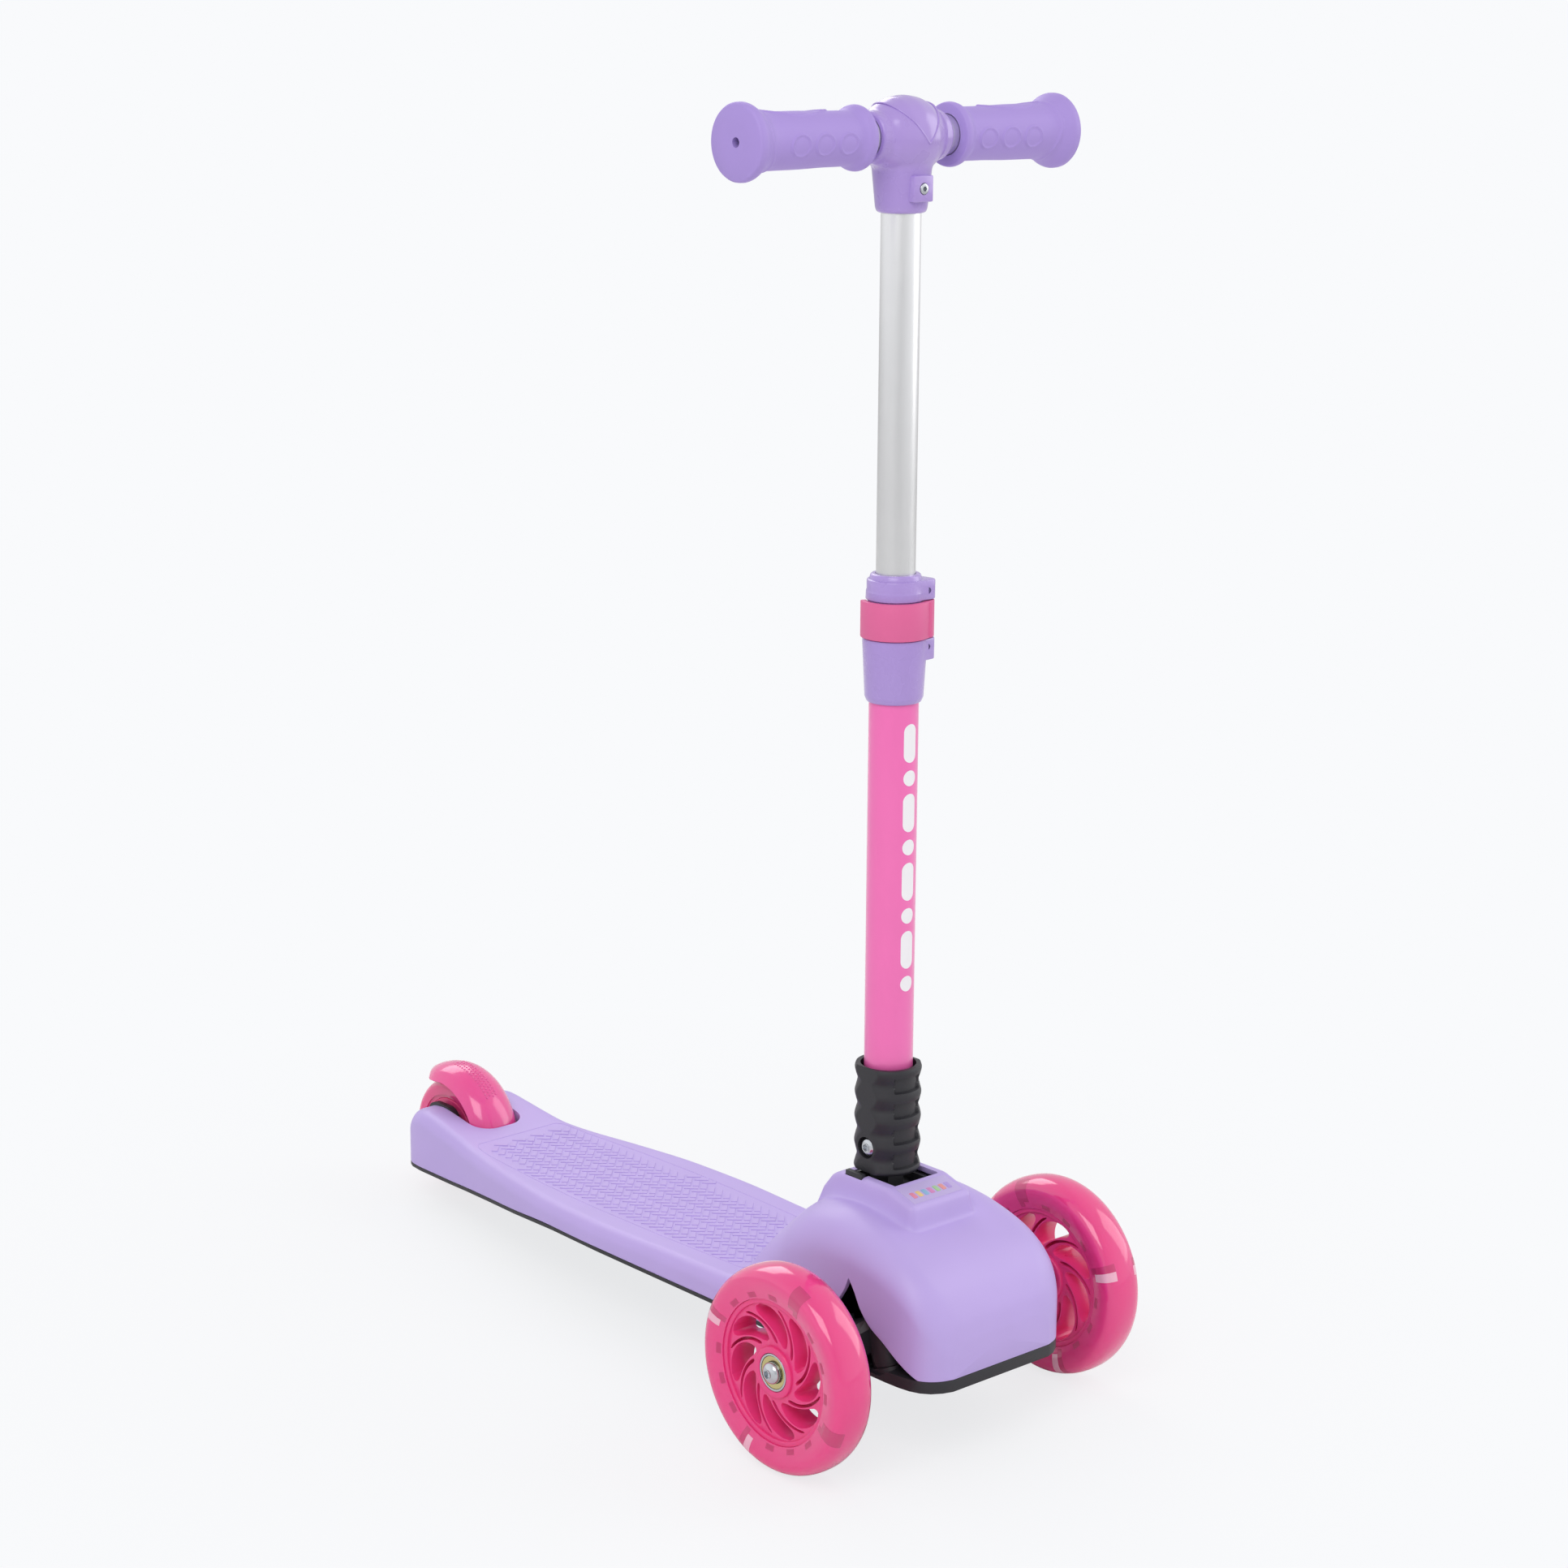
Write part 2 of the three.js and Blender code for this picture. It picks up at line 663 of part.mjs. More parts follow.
// Slot for the rear wheel, narrower in front under a lip of the deck, holes for its axle and the
// brake pin, and room for the brake's barrel
function rearRoom() {
  const mouth = wheelSlot(slotHalfWidth, slotFront + slotLip, slotMouthCorner);
  const underLip = box([-slotHalfWidth - overrun, slotFront - overrun, tailBottom - 2 * overrun],
    [slotHalfWidth + overrun, tailY + 2 * overrun, deckHeight - shellWall]);
  const slot = join(mouth, wheelSlot(slotHalfWidth, slotFront, slotCorner).intersect(underLip));
  const axleReach = slotHalfWidth + shellWall + overrun;
  const axleHole = bar(boltHeadRadius + seatGap, -axleReach, axleReach, boltSides, rearAxlePlace);
  const pinReach = brakePinHalfLength + seatGap;
  const pinHole = bar(brakePinRadius + seatGap, -pinReach, pinReach, boltSides, brakePlace);
  const barrelRoom = box(
    [-fenderHalfWidth - runGap, brakePivotY - brakeBarrelRadius - 2 * runGap, tailBottom - overrun],
    [fenderHalfWidth + runGap, slotFront + slotCorner, brakePivotHeight + brakeBarrelRadius + runGap]);
  return [slot, axleHole, pinHole, barrelRoom];
}

// The kingpin's own frame: its foot, leaning back, with Z up the pin
function kingpinFrame(side) {
  const place = new THREE.Matrix4().makeTranslation(side * kingpinX, kingpinY, kingpinFoot);
  return place.multiply(new THREE.Matrix4().makeRotationX(-kingpinLean));
}

const bossFoot = earLength + runGap;
const bossTop = bossFoot + bossLength;
const lugFoot = bossTop + springLength;
const lugTop = lugFoot + topLugLength;

function baseTray() {
  const plate = bodyOuter.intersect(underBody(trayFloor, trayFloor));
  const noseHalfWidth = bodyShares[0][1] * bodyHalfWidth - lipWall;
  const rim = cut(bodyOuter.intersect(underBody(trayFloor, noseLip)),
    box([-noseHalfWidth, -noseFront + lipWall, noseBottom + trayFloor],
      [noseHalfWidth, lipRear + noseLip, noseBottom + noseLip + overrun]));
  const forkInner = slotHalfWidth - seatGap - forkThickness;
  const slot = wheelSlot(forkInner, slotFront - brakeBarrelRadius - overrun, slotCorner / 2);
  const reach = slotHalfWidth + overrun;
  const axleHole = bar(axleRadius + seatGap, -reach, reach, boltSides, rearAxlePlace);
  const screws = screwPlaces.map((place) => {
    return postAt(place, screwShaft + seatGap, tailBottom - overrun, deckHeight, hexSides);
  });
  const { ears, earRoots, pinHoles, bossRoom } = kingpinSeats();
  const solids = join(plate, rim, ...earRoots, ...ears, ...forkArms(forkInner));
  return cut(solids, slot, axleHole, ...bossRoom, ...pinHoles, ...screws);
}

// Two arms that stand up from the tray beside the rear wheel
function forkArms(forkInner) {
  const forkOutline = new THREE.Shape();
  const [front, rear] = [wheelBase - forkFrontReach, wheelBase + forkRearReach];
  forkOutline.moveTo(front, tailBottom);
  forkOutline.lineTo(front, forkTop - forkCorner);
  forkOutline.absarc(front + forkCorner, forkTop - forkCorner, forkCorner, Math.PI, Math.PI / 2, true);
  forkOutline.absarc(rear - forkCorner, forkTop - forkCorner, forkCorner, Math.PI / 2, 0, true);
  forkOutline.lineTo(rear, tailBottom);
  return [-1, 1].map((side) => {
    const inner = side * forkInner;
    const outer = side * (forkInner + forkThickness);
    const points = forkOutline.getPoints(3).map((point) => [point.x, point.y]);
    return sideProfile(points, Math.min(inner, outer), Math.max(inner, outer));
  });
}

// Ears under the kingpins with their roots and holes, and the room that the knuckles turn in
function kingpinSeats() {
  const ears = [-1, 1].map((side) => moved(bar(earRadius, 0, earLength, roundSides), kingpinFrame(side)));
  const earRoots = [-1, 1].map((side) => {
    const [inner, outer] = [side * (kingpinX - earRadius), side * (kingpinX + lap)];
    return box([Math.min(inner, outer), kingpinY - earRadius, noseBottom],
      [Math.max(inner, outer), kingpinY + earRadius / 2, noseBottom + trayFloor]);
  });
  const pinHoles = [-1, 1].map((side) => {
    return moved(bar(kingpinRadius + seatGap, -overrun, 2 * earLength, boltSides), kingpinFrame(side));
  });
  const bossRoom = [-1, 1].map((side) => {
    return moved(bar(bossRadius + bossRoomGap, bossFoot - runGap, bossTop, roundSides), kingpinFrame(side));
  });
  return { ears, earRoots, pinHoles, bossRoom };
}

// Bracket that stands on the tray and carries the stem, the kingpin tops and the fold bolt
function stemBracket() {
  const half = openingHalfWidth - seatGap;
  const front = openingFront + seatGap;
  const rear = openingRear - seatGap;
  const foot = noseBottom + trayFloor + seatGap;
  const column = box([-half, front, foot], [half, rear, bracketFloorTop]);
  const plateFoot = bracketFloorTop - cheekPlate;
  const plate = box([-cheekOuter, cheekFront, plateFoot], [cheekOuter, cheekRear, bracketFloorTop]);
  const cheeks = [-1, 1].map((side) => {
    const [a, b] = [side * cheekInner, side * cheekOuter];
    return box([Math.min(a, b), cheekFront, plateFoot], [Math.max(a, b), cheekRear, cheekTop]);
  });
  const flange = box([-bracketFlangeHalfWidth, front, foot],
    [bracketFlangeHalfWidth, bracketFlangeRear, foot + bracketFlange]);
  const pocket = box([-bracketPocketHalfWidth, front + bracketWall, bracketPocketFloor],
    [bracketPocketHalfWidth, rear - bracketWall, cheekTop]);
  const core = box([-half + bracketWall, front + bracketWall, foot - overrun],
    [half - bracketWall, rear - bracketWall, bracketPocketFloor - 2 * bracketWall]);
  const web = box([-half, stemY - bracketWall, foot], [half, stemY + bracketWall, bracketPocketFloor]);
  const arms = [-1, 1].map((side) => bracketArm(side, half, front));
  const body = cut(join(column, plate, ...cheeks, flange), core, pocket);
  return join(body, web.intersect(column), tongue(), ...arms);
}

// Tongue up into the fold socket, slotted for the bolt's lift
function tongue() {
  const tongueTop = foldHeight + latchLift;
  const outline = new THREE.Shape();
  outline.moveTo(stemY - tongueHalfDepth, bracketPocketFloor - overrun);
  outline.lineTo(stemY + tongueHalfDepth, bracketPocketFloor - overrun);
  outline.absarc(stemY, tongueTop, tongueHalfDepth, 0, Math.PI, false);
  const slot = new THREE.Path();
  const slotRadius = foldBoltRadius + seatGap;
  slot.absarc(stemY, foldHeight, slotRadius, Math.PI, 2 * Math.PI, false);
  slot.absarc(stemY, tongueTop, slotRadius, 0, Math.PI, false);
  outline.holes.push(slot);
  const depth = { depth: 2 * tongueHalfWidth, bevelEnabled: false, curveSegments: 8 };
  const tongueGeometry = new THREE.ExtrudeGeometry(outline, depth);
  tongueGeometry.translate(0, 0, -tongueHalfWidth);
  tongueGeometry.applyMatrix4(sideways);
  return solid(tongueGeometry);
}

// Arm from the bracket's column to the lug over one kingpin
function bracketArm(side, half, front) {
  const frame = kingpinFrame(side);
  const lug = moved(bar(bossRadius, lugFoot, lugTop, roundSides), frame);
  const pinHole = moved(bar(kingpinRadius + seatGap, lugFoot - overrun, lugTop + overrun, boltSides), frame);
  const middle = new THREE.Vector3(0, 0, (lugFoot + lugTop) / 2).applyMatrix4(frame);
  const halfLug = topLugLength / 2;
  const low = middle.z - halfLug + lap;
  const high = middle.z + halfLug;
  const shape = new THREE.Shape();
  const inner = side * (half - bracketWall);
  shape.moveTo(inner, front);
  shape.lineTo(middle.x - side * kingpinRadius, middle.y - bossRadius + lugInset);
  shape.lineTo(middle.x - side * kingpinRadius, middle.y + bossRadius - lap);
  shape.lineTo(inner, front + 3 * bossRadius);
  const room = bossRadius + seatGap;
  const above = moved(bar(room, lugTop, lugTop + 4 * overrun, roundSides), frame);
  const below = moved(bar(room, lugFoot - 4 * overrun, lugFoot, roundSides), frame);
  return cut(join(cut(solid(planShape(shape, low, high)), above, below), lug), pinHole);
}

// Sections of the knuckle's arm, from the boss outwards, as shares of the boss and stub radii
const armCornerShare = 0.18;
const armRootShares = { front: 0.9, rear: 3, foot: 1, top: 2 };
const armMiddleShares = { half: 1.4, foot: 1.1, top: 1.9 };

// Steering knuckle: boss round the kingpin, arm and stub out to the wheel, tie rod arm inside
function knuckle(side) {
  const frame = kingpinFrame(side);
  const boss = moved(bar(bossRadius, bossFoot, bossTop, roundSides), frame);
  const pinHole = moved(bar(kingpinRadius + runGap, 0, lugTop, boltSides), frame);
  const ring = (x, y0, y1, z0, z1) => {
    const corner = (z1 - z0) * armCornerShare;
    return [[y0 + corner, z0], [y1 - corner, z0], [y1, z0 + corner], [y1, z1 - corner],
      [y1 - corner, z1], [y0 + corner, z1], [y0, z1 - corner], [y0, z0 + corner],
    ].map(([y, z]) => new THREE.Vector3(side * x, y, z));
  };
  const axle = frontWheelRadius;
  const [root, waist] = [armRootShares, armMiddleShares];
  const arm = loft([
    ring(armInner, kingpinY + root.front * bossRadius, kingpinY + root.rear * bossRadius,
      kingpinFoot + root.foot * bossRadius, axle + root.top * bossRadius),
    ring((armInner + armOuter) / 2, -waist.half * stubRadius, waist.half * stubRadius,
      axle - waist.foot * stubRadius, axle + waist.top * stubRadius),
    ring(armOuter, -stubRadius, stubRadius, axle - stubRadius, axle + stubRadius),
  ]);
  const stubAt = new THREE.Matrix4().makeTranslation(0, 0, axle).multiply(alongX);
  const stubEnd = wheelX - hubBossWidth / 2 - seatGap;
  const [a, b] = [side * stubStart, side * stubEnd];
  const stub = bar(stubRadius, Math.min(a, b), Math.max(a, b), roundSides, stubAt);
  const [c, d] = [side * (armInner + axleBoreInset), side * (stubEnd + overrun)];
  const bore = bar(axleRadius + seatGap, Math.min(c, d), Math.max(c, d), boltSides, stubAt);
  const armPlate = planShape(tieArmShape(), tieArmBase, tieArmBase + tieArmThickness);
  const tieArm = solid(armPlate.applyMatrix4(frame));
  const [ear, lug, rodRoom, tieHole] = knuckleRelief(frame);
  return cut(join(cut(join(arm, stub), rodRoom), boss, tieArm), ear, lug, pinHole, bore, tieHole);
}

// Room below and above the boss and round the tie rod's eye, and the hole for the tie pin
function knuckleRelief(frame) {
  const under = moved(bar(earRadius + overrun, -4 * overrun, bossFoot, roundSides), frame);
  const over = moved(bar(earRadius + overrun, bossTop, lugTop + 4 * overrun, roundSides), frame);
  const atPin = frame.clone().multiply(new THREE.Matrix4().makeTranslation(0, tiePinReach, 0));
  const rodRoom = bar(tieEyeRadius + 2 * runGap, tieRodFoot - runGap, lugTop, boltSides);
  const tieHole = bar(tiePinRadius + seatGap, 0, tieRodFoot, boltSides);
  return [under, over, moved(rodRoom, atPin), moved(tieHole, atPin)];
}

function tieArmShape() {
  const shape = new THREE.Shape();
  shape.absarc(0, 0, bossRadius - lap, Math.PI, 2 * Math.PI, false);
  shape.absarc(0, tiePinReach, tieEyeRadius, 0, Math.PI, false);
  return shape;
}

// Tie rod: two eyes and a flat bar, in the plane square to the kingpins
const tieRodFoot = tieArmBase + tieArmThickness + runGap;

function tieRod() {
  const shape = new THREE.Shape();
  const lean = Math.asin(tieRodHalfWidth / tieEyeRadius);
  shape.absarc(kingpinX, tiePinReach, tieEyeRadius, lean - Math.PI, Math.PI - lean, false);
  shape.absarc(-kingpinX, tiePinReach, tieEyeRadius, lean, 2 * Math.PI - lean, false);
  [-1, 1].forEach((side) => {
    const eye = new THREE.Path();
    eye.absarc(side * kingpinX, tiePinReach, tiePinRadius + runGap, 0, 2 * Math.PI, true);
    shape.holes.push(eye);
  });
  const place = kingpinFrame(0);
  return solid(planShape(shape, tieRodFoot, tieRodFoot + tieRodThickness, 6).applyMatrix4(place));
}

function tiePin(side) {
  const place = kingpinFrame(side).multiply(new THREE.Matrix4().makeTranslation(0, tiePinReach, 0));
  const headFoot = tieRodFoot + tieRodThickness + runGap;
  const shank = bar(tiePinRadius, tieArmBase - lap, headFoot + lap, boltSides);
  const head = bar(tiePinHeadRadius, headFoot, headFoot + tiePinHeadHeight, boltSides);
  return moved(join(shank, head), place);
}

function kingpin(side) {
  const seat = lugTop + seatGap;
  const shank = bar(kingpinRadius, lap, seat, boltSides);
  const head = bar(kingpinHeadRadius, seat, seat + boltHeadHeight, hexSides);
  return moved(join(shank, head), kingpinFrame(side));
}

// Torsion spring round the kingpin between the boss and the lug
function steeringSpring(side) {
  const wireSides = 5;
  const turnSteps = 8;
  const steps = turnSteps * springTurns;
  const half = springWire / 2;
  const climb = (springLength - springWire - 2 * seatGap) / steps;
  const rings = [];
  for (let step = 0; step <= steps; step += 1) {
    const turn = (step / turnSteps) * 2 * Math.PI;
    const height = bossTop + seatGap + half + step * climb;
    const ring = [];
    for (let corner = 0; corner < wireSides; corner += 1) {
      const angle = (corner / wireSides) * 2 * Math.PI;
      const radius = springRadius + half * Math.cos(angle);
      const z = height + half * Math.sin(angle);
      ring.push(new THREE.Vector3(radius * Math.cos(turn), radius * Math.sin(turn), z));
    }
    rings.push(ring);
  }
  return moved(loft(rings), kingpinFrame(side));
}

// Wheels, each drawn about its own axle along X. Each row of a tyre's shoulder shares gives how
// far a point lies inside the radius and inside the side, in shoulders.
const shoulderShares = [[0.12, 1.1], [0.55, 0.35], [1.3, 0]];

function tyre(radius, rim, width) {
  const half = width / 2;
  const right = [
    [radius, tyreFlatWidth / 2],
    ...shoulderShares.map(([under, inside]) => [radius - under * tyreShoulder, half - inside * tyreShoulder]),
    [rim + seatGap, half - tyreShoulder / 2],
  ];
  const left = right.map(([r, x]) => [r, -x]).reverse();
  return turned([...left, ...right], wheelSides, alongX);
}

// Hub with a rim, swept spokes and a boss bored for two bearings and the spacer between
function hub(rim, spokes) {
  const bossOuter = bearingRadius + hubBossWall;
  const halfBoss = hubBossWidth / 2;
  const seat = bearingRadius + pressGap;
  const shelf = halfBoss - bearingWidth - pressGap;
  const step = bearingRadius - bearingShelf;
  const boss = turned([
    [seat, -halfBoss], [bossOuter, -halfBoss], [bossOuter, halfBoss], [seat, halfBoss],
    [seat, shelf], [step, shelf], [step, -shelf], [seat, -shelf],
  ], roundSides, alongX);
  const ring = pipe(rim - rimWall, rim, -rimWidth / 2, rimWidth / 2, wheelSides, alongX);
  const [from, to] = [bossOuter - lap, rim - rimWall + lap];
  if (!spokes) {
    return join(boss, ring, pipe(from, to, -rimWidth / 4, rimWidth / 4, wheelSides, alongX));
  }
  const arms = [];
  for (let spoke = 0; spoke < spokeCount; spoke += 1) {
    arms.push(sweptSpoke(from, to, (spoke / spokeCount) * 2 * Math.PI));
  }
  return join(boss, ring, ...arms);
}

// One spoke that swings round as it leaves the boss
function sweptSpoke(from, to, start) {
  const steps = 3;
  const edges = [[], []];
  for (let step = 0; step <= steps; step += 1) {
    const share = step / steps;
    const radius = from + share * (to - from);
    const turn = start + spokeSweepShare * Math.PI * 0.5 * share * (2 - share);
    const half = spokeThickness / 2 / radius * (1 + share);
    edges[0].push(new THREE.Vector2(radius * Math.cos(turn - half), radius * Math.sin(turn - half)));
    edges[1].push(new THREE.Vector2(radius * Math.cos(turn + half), radius * Math.sin(turn + half)));
  }
  const shape = new THREE.Shape([...edges[0], ...edges[1].reverse()]);
  return solid(planShape(shape, -spokeWidth / 2, spokeWidth / 2).applyMatrix4(alongX));
}

function bearing(centre) {
  const half = (bearingWidth - seatGap) / 2;
  const place = new THREE.Matrix4().makeTranslation(centre, 0, 0).multiply(alongX);
  return pipe(bearingBore, bearingRadius - 2 * pressGap, -half, half, roundSides, place);
}

const bearingOffset = hubBossWidth / 2 - bearingWidth / 2;

function bearingSpacer() {
  const half = hubBossWidth / 2 - bearingWidth - seatGap;
  return pipe(bearingBore, bearingBore + spacerWall, -half, half, boltSides, alongX);
}

// Ring with light cells between the rim and the tyre, set into a step of the hub
function frontWheel(name, side) {
  const wheel = new THREE.Group();
  wheel.position.set(side * wheelX, 0, frontWheelRadius);
  wheel.rotation.z = side > 0 ? Math.PI : 0;
  const tread = tyre(frontWheelRadius, frontRimRadius, frontWheelWidth);
  const groove = pipe(frontRimRadius - lightRingWall - seatGap, frontRimRadius + overrun,
    -lightRingWidth / 2 - seatGap, lightRingWidth / 2 + seatGap, wheelSides, alongX);
  const ring = pipe(frontRimRadius - lightRingWall, frontRimRadius - seatGap / 3,
    -lightRingWidth / 2, lightRingWidth / 2, wheelSides, alongX);
  wheel.add(named(`${name}_tyre`, tread, finishes.clearPink));
  wheel.add(named(`${name}_hub`, cut(hub(frontRimRadius, true), groove), finishes.pink));
  wheel.add(named(`${name}_light_ring`, ring, finishes.clear));
  wheel.add(named(`${name}_bearing_outer`, bearing(-bearingOffset), finishes.steel));
  wheel.add(named(`${name}_bearing_inner`, bearing(bearingOffset), finishes.steel));
  wheel.add(named(`${name}_bearing_spacer`, bearingSpacer(), finishes.steel));
  return wheel;
}

function rearWheel() {
  const wheel = new THREE.Group();
  wheel.position.set(0, rearAxleY, rearWheelRadius);
  const tread = tyre(rearWheelRadius, rearRimRadius, rearWheelWidth);
  wheel.add(named("rear_tyre", tread, finishes.clearPink));
  wheel.add(named("rear_hub", hub(rearRimRadius, false), finishes.pink));
  wheel.add(named("rear_bearing_left", bearing(-bearingOffset), finishes.steel));
  wheel.add(named("rear_bearing_right", bearing(bearingOffset), finishes.steel));
  wheel.add(named("rear_bearing_spacer", bearingSpacer(), finishes.steel));
  return wheel;
}

// A button head bolt along X: head at the outer end, socket in the head
const domeShares = [[1, 0], [0.94, 0.5], [0.66, 1]];

function buttonBolt(headFace, tip, side, place) {
  const x = (value) => -side * value;
  const [end, root] = [x(tip), x(headFace + lap)];
  const shank = bar(axleRadius, Math.min(end, root), Math.max(end, root), boltSides, alongX);
  const rounds = domeShares.map(([out, up]) => [boltHeadRadius * out, boltHeadHeight * up]);
  const dome = turned([[0, 0], ...rounds, [0, boltHeadHeight]], boltSides);
  const turn = new THREE.Matrix4().makeRotationY(side > 0 ? -Math.PI / 2 : Math.PI / 2);
  const head = moved(dome, new THREE.Matrix4().makeTranslation(x(headFace), 0, 0).multiply(turn));
  const [a, b] = [x(headFace + boltHeadHeight - boltSocketDepth), x(headFace + boltHeadHeight + overrun)];
  const socket = bar(boltSocketRadius, Math.min(a, b), Math.max(a, b), hexSides, alongX);
  return moved(cut(join(shank, head), socket), place);
}

// Front axle bolt: head outside the wheel, shank screwed into the knuckle
function frontAxleBolt(side) {
  const face = hubBossWidth / 2 + seatGap;
  const place = new THREE.Matrix4().makeTranslation(side * wheelX, 0, frontWheelRadius);
  return buttonBolt(face, -(wheelX - armInner - axleTipInset), -side, place);
}

// Rear axle: bolt, nut and two spacers inside the fork
const forkOutside = slotHalfWidth - seatGap;

function rearAxle() {
  const place = new THREE.Matrix4().makeTranslation(0, wheelBase, rearAxleHeight);
  const bore = axleRadius + threadGap;
  const face = forkOutside + seatGap;
  const nutEnd = forkOutside + nutHeight;
  const bolt = buttonBolt(face, -(nutEnd + lap), 1, place);
  const nut = moved(pipe(bore, nutRadius, face, nutEnd, hexSides, alongX), place);
  const inner = hubBossWidth / 2 + seatGap;
  const outer = forkOutside - forkThickness - seatGap;
  const spacers = [-1, 1].map((side) => {
    const [a, b] = [side * inner, side * outer];
    const wide = bearingBore + forkSpacerWall;
    return moved(pipe(bore, wide, Math.min(a, b), Math.max(a, b), boltSides, alongX), place);
  });
  return { bolt, nut, spacers };
}

// Brake fender: a domed strip bent round the wheel, with a barrel on the pivot pin. The inside
// shares give its width and wall, within the strip and at its edges.
const acrossShares = [-1, -0.8, -0.45, 0, 0.45, 0.8, 1];
const domeDepthShare = 0.96;
const insideShares = { within: [0.9, 1], edge: [0.82, 0.4] };

function fenderRing(angle, endShare) {
  const centre = new THREE.Vector3(0, wheelBase, rearAxleHeight);
  const half = fenderHalfWidth * endShare;
  const fall = fenderDrop * endShare;
  const outer = acrossShares.map((share) => {
    const dome = 1 - Math.sqrt(1 - domeDepthShare * share * share);
    return [share * half, fenderCrown - fall * dome];
  });
  const inner = outer.map(([x, radius], i) => {
    const [wide, thick] = Math.abs(acrossShares[i]) === 1 ? insideShares.edge : insideShares.within;
    return [x * wide, radius - fenderWall * thick];
  }).reverse();
  return [...outer, ...inner].map(([x, radius]) => new THREE.Vector3(
    x, centre.y + radius * Math.sin(angle), centre.z + radius * Math.cos(angle)));
}

function brakeFender() {
  const rings = [];
  for (let step = 0; step <= fenderSteps; step += 1) {
    const angle = fenderFront + (step / fenderSteps) * (fenderRear - fenderFront);
    const into = Math.max(0, fenderEndSteps - (fenderSteps - step)) / (fenderEndSteps + fenderEndShare);
    rings.push(fenderRing(angle, Math.sqrt(1 - into ** 2)));
  }
  const halfBarrel = fenderHalfWidth - fenderBarrelInset;
  const reach = halfBarrel + overrun;
  const barrel = bar(brakeBarrelRadius, -halfBarrel, halfBarrel, boltSides, brakePlace);
  const hole = bar(brakePinRadius + runGap, -reach, reach, boltSides, brakePlace);
  const web = box([-halfBarrel, brakePivotY - lap, brakePivotHeight],
    [halfBarrel, brakePivotY + brakeBarrelRadius + fenderWebReach, brakePivotHeight + 2 * brakeBarrelRadius]);
  return cut(join(loft(rings), barrel, web), hole);
}

function brakePin() {
  return bar(brakePinRadius, -brakePinHalfLength, brakePinHalfLength, boltSides, brakePlace);
}

const stemPlace = new THREE.Matrix4().makeTranslation(0, stemY, 0);
const foldPlace = new THREE.Matrix4().makeTranslation(0, stemY, foldHeight);
const barPlace = new THREE.Matrix4().makeTranslation(0, stemY, barHeight).multiply(alongX);

// Ribbed socket at the foot of the stem, slotted behind for the bracket's tongue
function foldSocket() {
  const outer = [];
  const pitch = socketLength / socketBulges;
  const rows = 4 * socketBulges;
  for (let row = 0; row <= rows; row += 1) {
    const z = socketFoot + (row / rows) * socketLength;
    const wave = Math.cos(((socketTop - z) / pitch) * 2 * Math.PI);
    outer.push([socketRadius + socketBulge * (1 + wave) / 2, z]);
  }
  const bore = lowerTubeRadius + seatGap;
  const mouth = socketTop - socketMouthDepth;
  const profile = [[0, socketFoot], ...outer, [socketMouthRadius, socketTop], [socketMouthRadius, mouth],
    [bore, mouth], [bore, socketBoreFloor], [0, socketBoreFloor]];
  const wide = 2 * socketRadius;
  const flats = box([-socketFlat, stemY - wide, socketFoot - overrun],
    [socketFlat, stemY + wide, socketTop + overrun]);
  const body = turned(profile, tubeSides, stemPlace).intersect(flats);
  const clear = tongueHalfDepth + latchLift + swingGap;
  const slotHalf = tongueHalfWidth + runGap;
  const pivot = foldPlace.clone().multiply(alongX);
  const swing = bar(clear, -slotHalf, slotHalf, roundSides, pivot);
  const below = box([-slotHalf, stemY - clear, socketFoot - overrun], [slotHalf, stemY + wide, foldHeight]);
  const behind = box([-slotHalf, stemY, foldHeight - overrun],
    [slotHalf, stemY + wide, foldHeight + tongueHalfDepth + swingGap]);
  const boltHole = bar(foldBoltRadius + seatGap / 2, -wide, wide, boltSides, pivot);
  const headSeat = -socketFlat + foldHeadHeight + seatGap;
  const headRoom = bar(foldHeadRadius + foldHeadRecess, -wide, headSeat, roundSides, pivot);
  const nutRoom = bar(boltHeadRadius + 2 * seatGap, socketFlat - foldNutHeight, wide, hexSides, pivot);
  return cut(body, swing, below, behind, boltHole, headRoom, nutRoom);
}

function foldBolt() {
  const face = -socketFlat + foldHeadHeight;
  const shank = bar(foldBoltRadius, face - lap, socketFlat - lap, boltSides, alongX);
  const head = bar(foldHeadRadius, -socketFlat, face, boltSides, alongX);
  const socketEnd = -socketFlat + boltSocketDepth;
  const socket = bar(boltSocketRadius, -socketFlat - overrun, socketEnd, hexSides, alongX);
  return moved(cut(join(shank, head), socket), foldPlace);
}

function foldNut() {
  const seat = socketFlat - foldNutHeight + seatGap;
  const bore = foldBoltRadius + threadGap;
  return moved(pipe(bore, boltHeadRadius, seat, socketFlat - foldNutSink, hexSides, alongX), foldPlace);
}

// A drop outline round the stem with an ear along +X
function dropShape(radius, reach, earTip) {
  const shape = new THREE.Shape();
  const lean = Math.acos((radius - earTip) / reach);
  shape.absarc(reach, 0, earTip, -lean, lean, false);
  shape.absarc(0, 0, radius, lean, 2 * Math.PI - lean, false);
  return shape;
}

const clampPlace = stemPlace.clone().multiply(new THREE.Matrix4().makeRotationZ(clampTurn));
const leverPinPlace = new THREE.Matrix4().makeTranslation(earReach, 0, 0);

